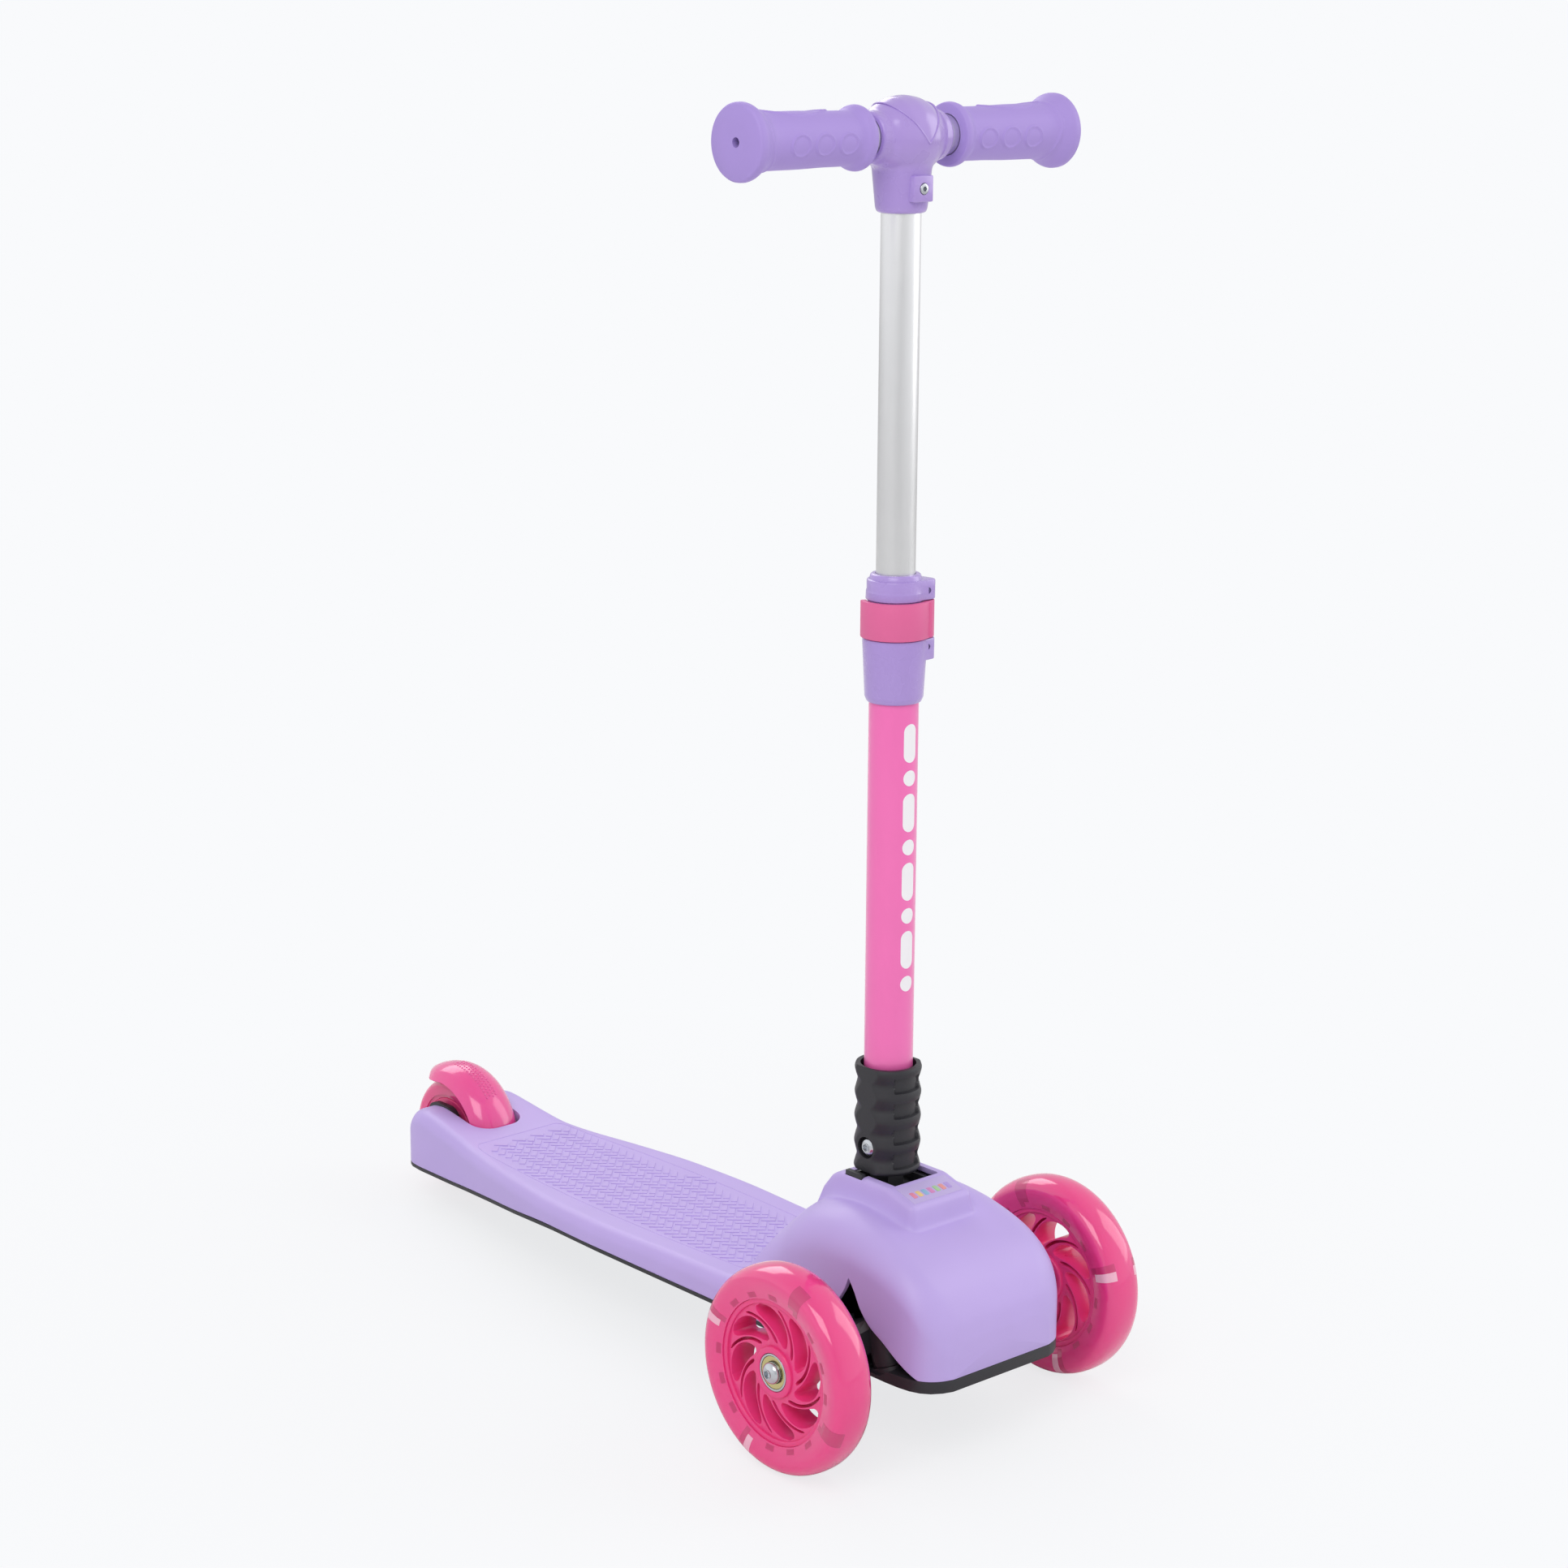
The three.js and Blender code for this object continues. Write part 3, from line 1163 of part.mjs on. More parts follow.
// Clamp collar fixed on the lower tube: cup, waist for the lever, crown and two ears
function clampCollar() {
  const bore = lowerTubeRadius + seatGap;
  const top = upperTubeRadius + seatGap;
  const waistFoot = leverFoot - seatGap;
  const waistTop = leverTop + seatGap;
  const cup = turned([
    [0, clampFoot], [clampFootRadius - edgeEase, clampFoot], [clampFootRadius, clampFoot + edgeEase],
    [clampSkirtRadius, waistFoot], [clampWaistRadius, waistFoot],
    [clampWaistRadius, waistTop], [clampRingRadius, waistTop], [clampRingRadius, waistTop + clampRingHeight],
    [clampCrownRadius, clampTop], [0, clampTop],
  ], tubeSides);
  const lowShape = dropShape(clampRingRadius + earBlend, earReach, clampEarRadius);
  const highShape = dropShape(clampRingRadius - earBlend, earReach, clampEarRadius);
  const lowEar = solid(planShape(lowShape, lowerEarFoot, waistFoot, 6));
  const highEar = solid(planShape(highShape, waistTop, clampTop - highEarDrop, 6));
  const boreTool = bar(bore, clampFoot - overrun, lowerTubeTop + seatGap, tubeSides);
  const topTool = bar(top, clampFoot, clampTop + overrun, tubeSides);
  const pinHole = bar(leverPinRadius + seatGap, leverPinFoot, leverPinTop, boltSides, leverPinPlace);
  const leverRoom = bar(leverBarrelRadius + runGap, waistFoot, waistTop, boltSides, leverPinPlace);
  return moved(cut(join(cup, lowEar, highEar), boreTool, topTool, pinHole, leverRoom), clampPlace);
}

const leverPinFoot = lowerEarFoot + leverPinInset;
const leverPinTop = clampTop - highEarDrop - leverPinInset;

function leverPin() {
  const [foot, top] = [leverPinFoot + seatGap, leverPinTop - seatGap];
  return moved(bar(leverPinRadius, foot, top, boltSides, leverPinPlace), clampPlace);
}

// Clamp lever: a barrel on its pin and a band that wraps the collar
function clampLever() {
  const shape = new THREE.Shape();
  const from = -leverStart;
  const to = -leverWrap;
  shape.absarc(0, 0, leverOuter, from, to, true);
  shape.absarc(0, 0, leverInner, to, from, false);
  const band = solid(planShape(shape, leverFoot, leverTop, 16));
  const [below, above] = [leverFoot - overrun, leverTop + overrun];
  const barrel = bar(leverBarrelRadius, leverFoot, leverTop, boltSides, leverPinPlace);
  const hole = bar(leverPinRadius + runGap, below, above, boltSides, leverPinPlace);
  const web = box([earReach - lap, -leverBarrelRadius - leverWebLength, leverFoot],
    [earReach + leverWebReach, 0, leverTop]);
  const waist = bar(clampWaistRadius + runGap, below, above, tubeSides);
  return moved(cut(join(band, barrel, web), hole, waist), clampPlace);
}

function lowerTube() {
  return pipe(lowerTubeBore, lowerTubeRadius, socketBoreFloor + seatGap, lowerTubeTop, tubeSides, stemPlace);
}

const upperTubeTop = teeBottom + teeTubeDepth;

function upperTube() {
  const inner = upperTubeRadius - upperTubeWall;
  return pipe(inner, upperTubeRadius, upperTubeFoot, upperTubeTop, tubeSides, stemPlace);
}

// Guide bush plugged into the foot of the upper tube
function mastBush() {
  const plug = upperTubeRadius - upperTubeWall - seatGap;
  const lip = lowerTubeBore - runGap;
  return turned([
    [0, upperTubeFoot - bushLip], [lip, upperTubeFoot - bushLip], [lip, upperTubeFoot - seatGap],
    [plug, upperTubeFoot - seatGap], [plug, upperTubeFoot + bushPlug], [0, upperTubeFoot + bushPlug],
  ], tubeSides, stemPlace);
}

// Tee that joins the upper tube to the handlebar. The side shares give places along it, from its
// ends inwards, where its sockets start to swell, and its radius there.
const teeEndShare = 0.8;
const teeSwellShares = [[0.55, 0.86], [0.2, 1]];

function teeJoint() {
  const side = [
    [0, teeHalfLength], [teeSocketRadius, teeHalfLength], [teeSocketRadius, teeEndShare * teeHalfLength],
    ...teeSwellShares.map(([along, out]) => [out * teeBodyRadius, along * teeHalfLength]),
  ];
  const mirrored = side.map(([radius, x]) => [radius, -x]);
  const body = turned([...mirrored, ...side.reverse()], tubeSides, barPlace);
  const neck = turned([
    [0, teeBottom], [teeNeckRadius - edgeEase, teeBottom], [teeNeckRadius, teeBottom + edgeEase],
    [teeShoulderRadius, teePadHeight + teePadHalf], [teeCollarRadius, barHeight - teeCollarDrop],
    [0, barHeight],
  ], tubeSides, stemPlace);
  const pad = box([-teePadHalf, stemY - teePadReach, teePadHeight - teePadHalf],
    [teePadHalf, stemY, teePadHeight + teePadHalf]);
  const tubeRadius = upperTubeRadius + seatGap;
  const socket = bar(tubeRadius, teeBottom - overrun, upperTubeTop + seatGap, tubeSides, stemPlace);
  const reach = teeHalfLength + overrun;
  const bore = bar(barRadius + seatGap, -reach, reach, tubeSides, barPlace);
  const screwRadius = teeScrewRadius + seatGap;
  const screwHole = bar(screwRadius, -teePadReach - overrun, -upperTubeRadius, boltSides, teeScrewPlace);
  return cut(join(body, neck, pad), socket, bore, screwHole);
}

const teeScrewPlace = new THREE.Matrix4().makeTranslation(0, stemY, teePadHeight).multiply(alongY);

// Grub screw that clamps the tee on the tube
function teeScrew() {
  const face = -teePadReach - teeScrewProud;
  const inner = -upperTubeRadius - seatGap;
  const body = bar(teeScrewRadius, face, inner, boltSides, teeScrewPlace);
  const socketEnd = face + teeScrewSocket;
  return cut(body, bar(teeScrewRadius / 2, face - overrun, socketEnd, hexSides, teeScrewPlace));
}

function handlebarTube() {
  const end = barHalfLength - gripCapThickness - seatGap;
  return pipe(barRadius - barWall, barRadius, -end, end, tubeSides, barPlace);
}

// Soft grip: inner flange, waisted body and a wide end cap with a vent hole
function grip(side) {
  const bore = barRadius + seatGap;
  const inside = barHalfLength - gripCapThickness;
  const flangeEnd = gripInner + gripFlangeWidth;
  const taperEnd = flangeEnd + gripFlangeTaper;
  const middle = (gripInner + barHalfLength) / 2;
  const capStart = barHalfLength - gripCapWidth;
  const profile = [
    [bore, gripInner], [gripFlangeRadius - edgeEase, gripInner], [gripFlangeRadius, flangeEnd],
    [gripFlangeRadius - gripFlangeStep, taperEnd], [gripWaistRadius, taperEnd + gripNeckLength],
    [gripBodyRadius, middle + gripBodyStart], [gripBodyRadius, capStart - gripFlareLength],
    [gripFlangeRadius, capStart], [gripCapRadius, barHalfLength - gripCapRound],
    [gripCapRadius - gripCapEase, barHalfLength], [gripVent, barHalfLength],
    [gripVent, inside], [bore, inside],
  ];
  return turned(profile.map(([radius, x]) => [radius, side * x]), roundSides, barPlace);
}

function trayScrew([x, y]) {
  const under = Math.min(bodyBottomAt(y - screwHead), bodyBottomAt(y + screwHead)) - seatGap;
  const shaft = postAt([x, y], screwShaft, under - lap, deckHeight - shellWall - screwTipGap, hexSides);
  const head = postAt([x, y], screwHead, under - screwHeadHeight, under, boltSides);
  return join(shaft, head);
}

// Assembly
function addFrame() {
  body.add(named("top_shell", topShell(), finishes.purple));
  body.add(named("base_tray", baseTray(), finishes.black));
  body.add(named("stem_bracket", stemBracket(), finishes.black));
  screwPlaces.forEach((place, i) => {
    body.add(named(`tray_screw_${i + 1}`, trayScrew(place), finishes.steel));
  });
  const { bolt, nut, spacers } = rearAxle();
  body.add(named("rear_axle_bolt", bolt, finishes.steel));
  body.add(named("rear_axle_nut", nut, finishes.steel));
  body.add(named("rear_axle_spacer_left", spacers[0], finishes.steel));
  body.add(named("rear_axle_spacer_right", spacers[1], finishes.steel));
  body.add(named("brake_pin", brakePin(), finishes.steel));
}

function addSteering() {
  [["left", -1], ["right", 1]].forEach(([name, side]) => {
    body.add(named(`${name}_kingpin`, kingpin(side), finishes.steel));
    body.add(named(`${name}_steering_spring`, steeringSpring(side), finishes.steel));
    body.add(named(`${name}_knuckle`, knuckle(side), finishes.black));
    body.add(named(`${name}_axle_bolt`, frontAxleBolt(side), finishes.steel));
    body.add(named(`${name}_tie_pin`, tiePin(side), finishes.steel));
    group.add(frontWheel(`${name}_wheel`, side));
  });
  body.add(named("tie_rod", tieRod(), finishes.black));
}

function addRear() {
  group.add(rearWheel());
  body.add(named("brake_fender", brakeFender(), finishes.clearPink));
}

function addStem() {
  body.add(named("fold_socket", foldSocket(), finishes.black));
  body.add(named("fold_bolt", foldBolt(), finishes.steel));
  body.add(named("fold_nut", foldNut(), finishes.steel));
  body.add(named("lower_tube", lowerTube(), finishes.pinkPaint));
  body.add(named("clamp_collar", clampCollar(), finishes.purple));
  body.add(named("clamp_lever", clampLever(), finishes.leverPink));
  body.add(named("lever_pin", leverPin(), finishes.steel));
  body.add(named("upper_tube", upperTube(), finishes.silver));
  body.add(named("mast_bush", mastBush(), finishes.black));
  body.add(named("tee_joint", teeJoint(), finishes.purple));
  body.add(named("tee_screw", teeScrew(), finishes.steel));
  body.add(named("handlebar_tube", handlebarTube(), finishes.silver));
  body.add(named("left_grip", grip(-1), finishes.purpleRubber));
  body.add(named("right_grip", grip(1), finishes.purpleRubber));
}

addFrame();
addSteering();
addRear();
addStem();

// Centre the whole scooter along its length
group.updateMatrixWorld(true);
const extent = new THREE.Box3().setFromObject(group, true);
group.position.y = -(extent.min.y + extent.max.y) / 2;

export default group;
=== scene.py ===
# Looks of the three wheel kids scooter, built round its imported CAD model. Shapes are drawn in
# millimetres in the same body frame as the model's source and placed by the matrices below.
import bpy
import bmesh
import math
import numpy as np
from mathutils import Matrix, Vector

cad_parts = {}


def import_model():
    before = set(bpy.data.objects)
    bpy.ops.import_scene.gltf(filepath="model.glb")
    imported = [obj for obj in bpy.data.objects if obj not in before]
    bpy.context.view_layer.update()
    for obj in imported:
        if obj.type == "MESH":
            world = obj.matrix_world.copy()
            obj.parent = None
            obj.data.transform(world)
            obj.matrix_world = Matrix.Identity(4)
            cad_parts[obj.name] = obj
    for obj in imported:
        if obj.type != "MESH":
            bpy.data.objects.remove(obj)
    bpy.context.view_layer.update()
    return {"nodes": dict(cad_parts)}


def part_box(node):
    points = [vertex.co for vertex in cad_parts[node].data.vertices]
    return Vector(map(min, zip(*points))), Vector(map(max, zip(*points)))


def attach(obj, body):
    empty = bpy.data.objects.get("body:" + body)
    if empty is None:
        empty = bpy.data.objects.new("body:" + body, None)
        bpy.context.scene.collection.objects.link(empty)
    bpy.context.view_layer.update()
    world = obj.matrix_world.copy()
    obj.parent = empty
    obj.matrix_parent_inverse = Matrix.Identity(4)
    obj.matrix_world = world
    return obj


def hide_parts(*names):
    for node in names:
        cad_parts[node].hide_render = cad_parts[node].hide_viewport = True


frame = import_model()
PI = math.pi
MM = 0.001
TINY = 1e-6

# Driving sizes
FRONT_R, FRONT_RIM, FRONT_WIDTH = 60, 42, 26
REAR_R, REAR_RIM, REAR_WIDTH = 38, 25, 23
WHEELBASE, REAR_AXLE_Z, WHEEL_X = 448, 53, 106.8
NOSE, LENGTH = -62, 518.5
TAIL = NOSE + LENGTH
STEM_Y, FOLD_Z, BAR_Z = 34, 158.5, 727
MAST_R, LOWER_R = 11, 14
BEARING_R, BEARING_BORE, BEARING_HALF, BEARING_X = 10.8, 4, 3.35, 7
# BESIDE_HUB is from a wheel's middle to the bolt head or spacer beside its hub
AXLE_R, BESIDE_HUB = 3.65, 10.8
CLAMP_TURN = -40
FIT = 0.3


def move(x=0, y=0, z=0):
    return Matrix.Translation((x, y, z))


def turned_about(axis, degrees):
    return Matrix.Rotation(math.radians(degrees), 4, axis)


# Places of the bodies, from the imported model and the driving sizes
X_AXIS = turned_about("Y", 90)
Y_AXIS = turned_about("X", -90)
drop = FRONT_R - REAR_AXLE_Z
span = math.hypot(WHEELBASE, drop)
LEAN = math.asin((FRONT_R - REAR_R) / span) - math.asin(drop / span)
tyre_low, tyre_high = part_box("left_wheel_tyre")
rear_low, rear_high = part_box("rear_tyre")
AXLE_Y = (tyre_low.y + tyre_high.y) / 2
BODY = (move(0, AXLE_Y, FRONT_R * MM) @ Matrix.Rotation(-LEAN, 4, "X")
        @ Matrix.Scale(MM, 4) @ move(z=-FRONT_R))
STEM = BODY @ move(y=STEM_Y)
BAR_MIDDLE = STEM @ move(z=BAR_Z)
CLAMP = STEM @ turned_about("Z", CLAMP_TURN)
REAR_AXLE = BODY @ move(0, WHEELBASE, REAR_AXLE_Z) @ X_AXIS
REAR_WHEEL = move(0, (rear_low.y + rear_high.y) / 2, REAR_R * MM) @ Matrix.Scale(MM, 4)


def wheel_place(side):
    turn = turned_about("Z", 180 if side > 0 else 0)
    return move(side * WHEEL_X * MM, AXLE_Y, FRONT_R * MM) @ turn @ Matrix.Scale(MM, 4)


# Node graphs and materials
def make_node(tree, kind, inputs=None, **settings):
    """A new node's outputs; an input is linked where its value is a socket."""
    node = tree.nodes.new(kind)
    for key, value in settings.items():
        setattr(node, key, value)
    for key, value in (inputs or {}).items():
        if isinstance(value, bpy.types.NodeSocket):
            tree.links.new(value, node.inputs[key])
        else:
            node.inputs[key].default_value = value
    return node.outputs


def srgb(code):
    parts = [int(code[i:i + 2], 16) / 255 for i in (1, 3, 5)]
    return [p / 12.92 if p <= 0.04045 else ((p + 0.055) / 1.055) ** 2.4 for p in parts] + [1]


class Graph:
    """A material's node tree."""

    def __init__(self, name):
        self.material = bpy.data.materials.new(name)
        self.material.use_nodes = True
        self.tree = self.material.node_tree
        self.tree.nodes.clear()

    def add(self, kind, inputs=None, output=0, **settings):
        return make_node(self.tree, kind, inputs, **settings)[output]

    def object_coords(self):
        return self.add("ShaderNodeTexCoord", output="Object")

    def noise(self, coords, scale, detail):
        return self.add("ShaderNodeTexNoise", {"Vector": coords, "Scale": scale, "Detail": detail}, "Fac")

    def mottled(self, coords, scale, colour, shade):
        """The colour, darker by a share of it in soft clouds."""
        base = srgb(colour)
        darker = [value * (1 - shade) for value in base[:3]] + [1]
        values = {0: self.noise(coords, scale, 2), 6: darker, 7: base}
        return self.add("ShaderNodeMix", values, 2, data_type="RGBA")

    def varied(self, value, middle, swing):
        values = {0: value, 1: 2 * swing, 2: middle - swing}
        return self.add("ShaderNodeMath", values, operation="MULTIPLY_ADD")

    def bump(self, height, strength, distance):
        return self.add("ShaderNodeBump", {"Height": height, "Strength": strength, "Distance": distance})

    def surface(self, shader):
        make_node(self.tree, "ShaderNodeOutputMaterial", {"Surface": shader})
        return self.material


LOOK = {}


def finish(name, colour, roughness, grain=0.0, metallic=0, shade=0.06, spread=0.06, **extra):
    """A moulded, painted or metal surface with faint mottling, uneven gloss and grain."""
    graph = Graph(name)
    coords = graph.object_coords()
    values = {
        "Base Color": graph.mottled(coords, 35, colour, shade),
        "Roughness": graph.varied(graph.noise(coords, 70, 3), roughness, spread),
        "Metallic": metallic,
    }
    if grain:
        values["Normal"] = graph.bump(graph.noise(coords, 900, 4), grain, 0.0004)
    values.update(extra)
    LOOK[name] = graph.surface(graph.add("ShaderNodeBsdfPrincipled", values))


def brushed(name, colour, roughness):
    """Drawn aluminium tube: fine lines along its length."""
    graph = Graph(name)
    coords = graph.object_coords()
    lines = graph.add("ShaderNodeMapping", {"Vector": coords, "Scale": (1, 1, 0.01)})
    streak = graph.noise(lines, 1400, 2)
    values = {
        "Base Color": graph.mottled(coords, 40, colour, 0.06),
        "Roughness": graph.varied(streak, roughness, 0.05),
        "Metallic": 1,
        "Normal": graph.bump(streak, 0.08, 0.0002),
    }
    LOOK[name] = graph.surface(graph.add("ShaderNodeBsdfPrincipled", values))


def coat(weight, roughness):
    return {"Coat Weight": weight, "Coat Roughness": roughness}


GLOW_DEPTH = 0.003
SOFT_PINK = {"Subsurface Weight": 0.2, "Subsurface Radius": (1.0, 0.35, 0.6),
             "Subsurface Scale": GLOW_DEPTH, **coat(0.6, 0.04)}
finish("purple_plastic", "#c0aae8", 0.42, 0.05)
finish("purple_rubber", "#ab92da", 0.55, 0.10)
finish("purple_joint", "#ad92d8", 0.28, 0.03, **coat(0.4, 0.12))
finish("purple_pad", "#c3b1e4", 0.5, 0.04)
finish("pink_plastic", "#ee3f86", 0.3, 0.04, **{"Subsurface Weight": 0.1, "Subsurface Scale": GLOW_DEPTH})
finish("clear_pink", "#ee3f8a", 0.14, spread=0.04, **SOFT_PINK)
finish("fender_pink", "#f04b98", 0.2, spread=0.04, **SOFT_PINK)
finish("deep_pink", "#c9356f", 0.3, 0.03)
finish("band_pink", "#cf3573", 0.2, 0.03, **coat(0.5, 0.05))
finish("wedge_pink", "#f5b6cd", 0.2, **coat(0.5, 0.05))
finish("pink_paint", "#f76fba", 0.3, 0.03, **coat(0.5, 0.15))
finish("lever_pink", "#e3669c", 0.5, 0.06)
finish("black_plastic", "#222127", 0.5, 0.12)
brushed("silver_tube", "#e0e0e1", 0.34)
finish("zinc_steel", "#c3c6cb", 0.2, 0.05, metallic=1, shade=0.1)
finish("zinc_gold", "#cfc58c", 0.24, 0.05, metallic=1, shade=0.12)
finish("dark_seal", "#262326", 0.6, 0.1)
finish("clear_plastic", "#efe3e8", 0.1, **{"Coat Weight": 0.6})
finish("white_print", "#f6f4f8", 0.35, 0.03, shade=0.03)


# Mesh building
def new_object(name, data):
    obj = bpy.data.objects.new(name, data)
    bpy.context.scene.collection.objects.link(obj)
    return obj


def mesh_of(verts, faces):
    bm = bmesh.new()
    points = [bm.verts.new(v) for v in verts]
    for face in faces:
        bm.faces.new([points[i] for i in face])
    return bm


def cleaned(bm, distance=0.0005):
    bmesh.ops.remove_doubles(bm, verts=bm.verts, dist=distance)
    bmesh.ops.dissolve_degenerate(bm, edges=bm.edges, dist=distance / 2)
    bmesh.ops.recalc_face_normals(bm, faces=bm.faces)
    return bm


def turned(profile, sides=96, place=None):
    """Profile points (radius, height) turned about Z. It starts and ends on the axis, or closes."""
    rings = []
    verts = []
    for radius, height in profile:
        if radius <= TINY:
            rings.append([len(verts)])
            verts.append((0, 0, height))
            continue
        rings.append(range(len(verts), len(verts) + sides))
        for k in range(sides):
            turn = 2 * PI * (k + 0.5) / sides
            verts.append((radius * math.cos(turn), radius * math.sin(turn), height))
    if profile[0][0] > TINY:
        rings.append(rings[0])
    faces = []
    for low, high in zip(rings, rings[1:]):
        for k in range(sides):
            n = (k + 1) % sides
            if len(low) == 1 and len(high) == 1:
                continue
            if len(low) == 1:
                faces.append((low[0], high[n], high[k]))
            elif len(high) == 1:
                faces.append((low[k], low[n], high[0]))
            else:
                faces.append((low[k], low[n], high[n], high[k]))
    bm = mesh_of(verts, faces)
    bmesh.ops.recalc_face_normals(bm, faces=bm.faces)
    if place is not None:
        bm.transform(place)
    return bm


def rounded(points, radius=0.5, steps=3, closed=True):
    """The outline with its corners rounded; a third number in a point is its own radius."""
    out = []
    count = len(points)
    for i, point in enumerate(points):
        here = Vector(point[:2])
        size = point[2] if len(point) > 2 else radius
        before = Vector(points[i - 1][:2]) - here
        after = Vector(points[(i + 1) % count][:2]) - here
        fixed = not size or here.x < TINY or (not closed and i in (0, count - 1))
        if fixed or before.length < TINY or after.length < TINY or before.angle(after) > 3.1:
            out.append(tuple(here))
            continue
        reach = min(size / math.tan(before.angle(after) / 2), 0.48 * before.length, 0.48 * after.length)
        start, end = here + before.normalized() * reach, here + after.normalized() * reach
        for step in range(steps + 1):
            k = step / steps
            out.append(tuple((1 - k) ** 2 * start + 2 * k * (1 - k) * here + k * k * end))
    return out


def rod(radius, low, high, sides=96, place=None):
    """A plain round bar along Z."""
    return turned([(0, low), (radius, low), (radius, high), (0, high)], sides, place)


def ring(inner, outer, low, high, edge, sides=96, place=None):
    """A ring along Z with eased edges, or a bar where the inner radius is zero."""
    return turned(rounded([(inner, low), (outer, low), (outer, high), (inner, high)], edge), sides, place)


def arc(radius, start, stop, count):
    return [(radius * math.cos(a), radius * math.sin(a)) for a in np.linspace(start, stop, count)]


def circle(radius, count):
    return arc(radius, 0, 2 * PI, count + 1)[:-1]


def rectangle(left, front, right, back, edge):
    return rounded([(left, front), (right, front), (right, back), (left, back)], edge)


def evaluated(obj):
    """The object's final mesh as a bmesh; the object is removed."""
    graph = bpy.context.evaluated_depsgraph_get()
    graph.update()
    mesh = bpy.data.meshes.new_from_object(obj.evaluated_get(graph), depsgraph=graph)
    bm = bmesh.new()
    bm.from_mesh(mesh)
    bpy.data.meshes.remove(mesh)
    bpy.data.objects.remove(obj)
    return bm


def prism(outlines, low, high, edge=0.0, place=None):
    """Plan outlines, the inner ones holes, filled and pushed up from low to high, edges eased."""
    data = bpy.data.curves.new("prism", "CURVE")
    data.dimensions = "2D"
    data.fill_mode = "BOTH"
    data.extrude = (high - low) / 2 - edge
    data.bevel_depth = edge
    data.bevel_resolution = 1
    data.offset = -edge
    for outline in outlines:
        spline = data.splines.new("POLY")
        spline.points.add(len(outline) - 1)
        for point, (x, y) in zip(spline.points, outline):
            point.co = (x, y, 0, 1)
        spline.use_cyclic_u = True
    bm = evaluated(new_object("prism", data))
    bm.transform(move(z=(low + high) / 2))
    cleaned(bm, 0.002)
    if place is not None:
        bm.transform(place)
    return bm


def helper(bm, name):
    mesh = bpy.data.meshes.new(name)
    bm.to_mesh(mesh)
    bm.free()
    return new_object(name, mesh)


def combined(bm, add=(), cut=(), then=()):
    """The bmesh with others added, others cut off it, and then modifiers given as dictionaries."""
    obj = helper(bm, "helper")
    tools = []
    for operation, parts in (("UNION", add), ("DIFFERENCE", cut)):
        for part in parts:
            tools.append(helper(part, "tool"))
            modifier = obj.modifiers.new("m", "BOOLEAN")
            modifier.operation = operation
            modifier.solver = "EXACT"
            modifier.object = tools[-1]
    for step in then:
        settings = dict(step)
        modifier = obj.modifiers.new("m", settings.pop("type"))
        for key, value in settings.items():
            setattr(modifier, key, value)
    result = evaluated(obj)
    for tool in tools:
        bpy.data.objects.remove(tool)
    return cleaned(result)


def eased(width, angle):
    return {"type": "BEVEL", "width": width, "segments": 2, "limit_method": "ANGLE",
            "angle_limit": math.radians(angle), "use_clamp_overlap": True}


def merged(*parts):
    """Several closed bodies in one bmesh."""
    whole = bmesh.new()
    for part in parts:
        mesh = bpy.data.meshes.new("part")
        part.to_mesh(mesh)
        part.free()
        whole.from_mesh(mesh)
        bpy.data.meshes.remove(mesh)
    return whole


def block(low, high, edge=0.0):
    bm = bmesh.new()
    bmesh.ops.create_cube(bm, size=1)
    size = [b - a for a, b in zip(low, high)]
    middle = [(a + b) / 2 for a, b in zip(low, high)]
    bm.transform(move(*middle) @ Matrix.Diagonal((*size, 1)))
    if edge:
        bmesh.ops.bevel(bm, geom=list(bm.edges), offset=edge, segments=3, affect="EDGES", profile=0.5)
    return bm


def skin(grid, wrap_rows=False):
    """Faces over a grid of points given row by row, each row closed on itself."""
    rows, columns = len(grid), len(grid[0])
    verts = [tuple(p) for row in grid for p in row]
    faces = []
    for i in range(rows if wrap_rows else rows - 1):
        for j in range(columns):
            a, b = (i + 1) % rows, (j + 1) % columns
            faces.append((i * columns + j, i * columns + b, a * columns + b, a * columns + j))
    return verts, faces


def lofted(grid):
    """A closed body through rows of points, with a face over each end."""
    verts, faces = skin(grid)
    count = len(grid[0])
    faces += [tuple(range(count))[::-1], tuple(range(len(verts) - count, len(verts)))]
    return cleaned(mesh_of(verts, faces), 1e-5)


def tube(path, radius, sides, closed=False):
    """A round tube along a path of points."""
    points = [Vector(p) for p in path]
    grid = []
    count = len(points)
    side = None
    for i, point in enumerate(points):
        ahead = points[(i + 1) % count] if closed or i + 1 < count else point
        behind = points[i - 1] if closed or i else point
        along = (ahead - behind).normalized()
        side = side or along.orthogonal()
        side = (side - along * side.dot(along)).normalized()
        other = along.cross(side)
        grid.append([point + side * x + other * y for x, y in circle(radius, sides)])
    if closed:
        return cleaned(mesh_of(*skin(grid, wrap_rows=True)), 1e-5)
    return lofted(grid)


def piece(name, bm, body, look, place, node=None, slot=None, sharp=35):
    """Turns a bmesh into a finished piece that rides on a body and may stand for a CAD node."""
    bm.transform(place)
    mesh = bpy.data.meshes.new(name)
    bm.to_mesh(mesh)
    bm.free()
    mesh.shade_smooth()
    mesh.set_sharp_from_angle(angle=math.radians(sharp))
    obj = new_object(name, mesh)
    mesh.materials.append(LOOK[look])
    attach(obj, body)
    slot or look
    if node:
        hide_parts(node)


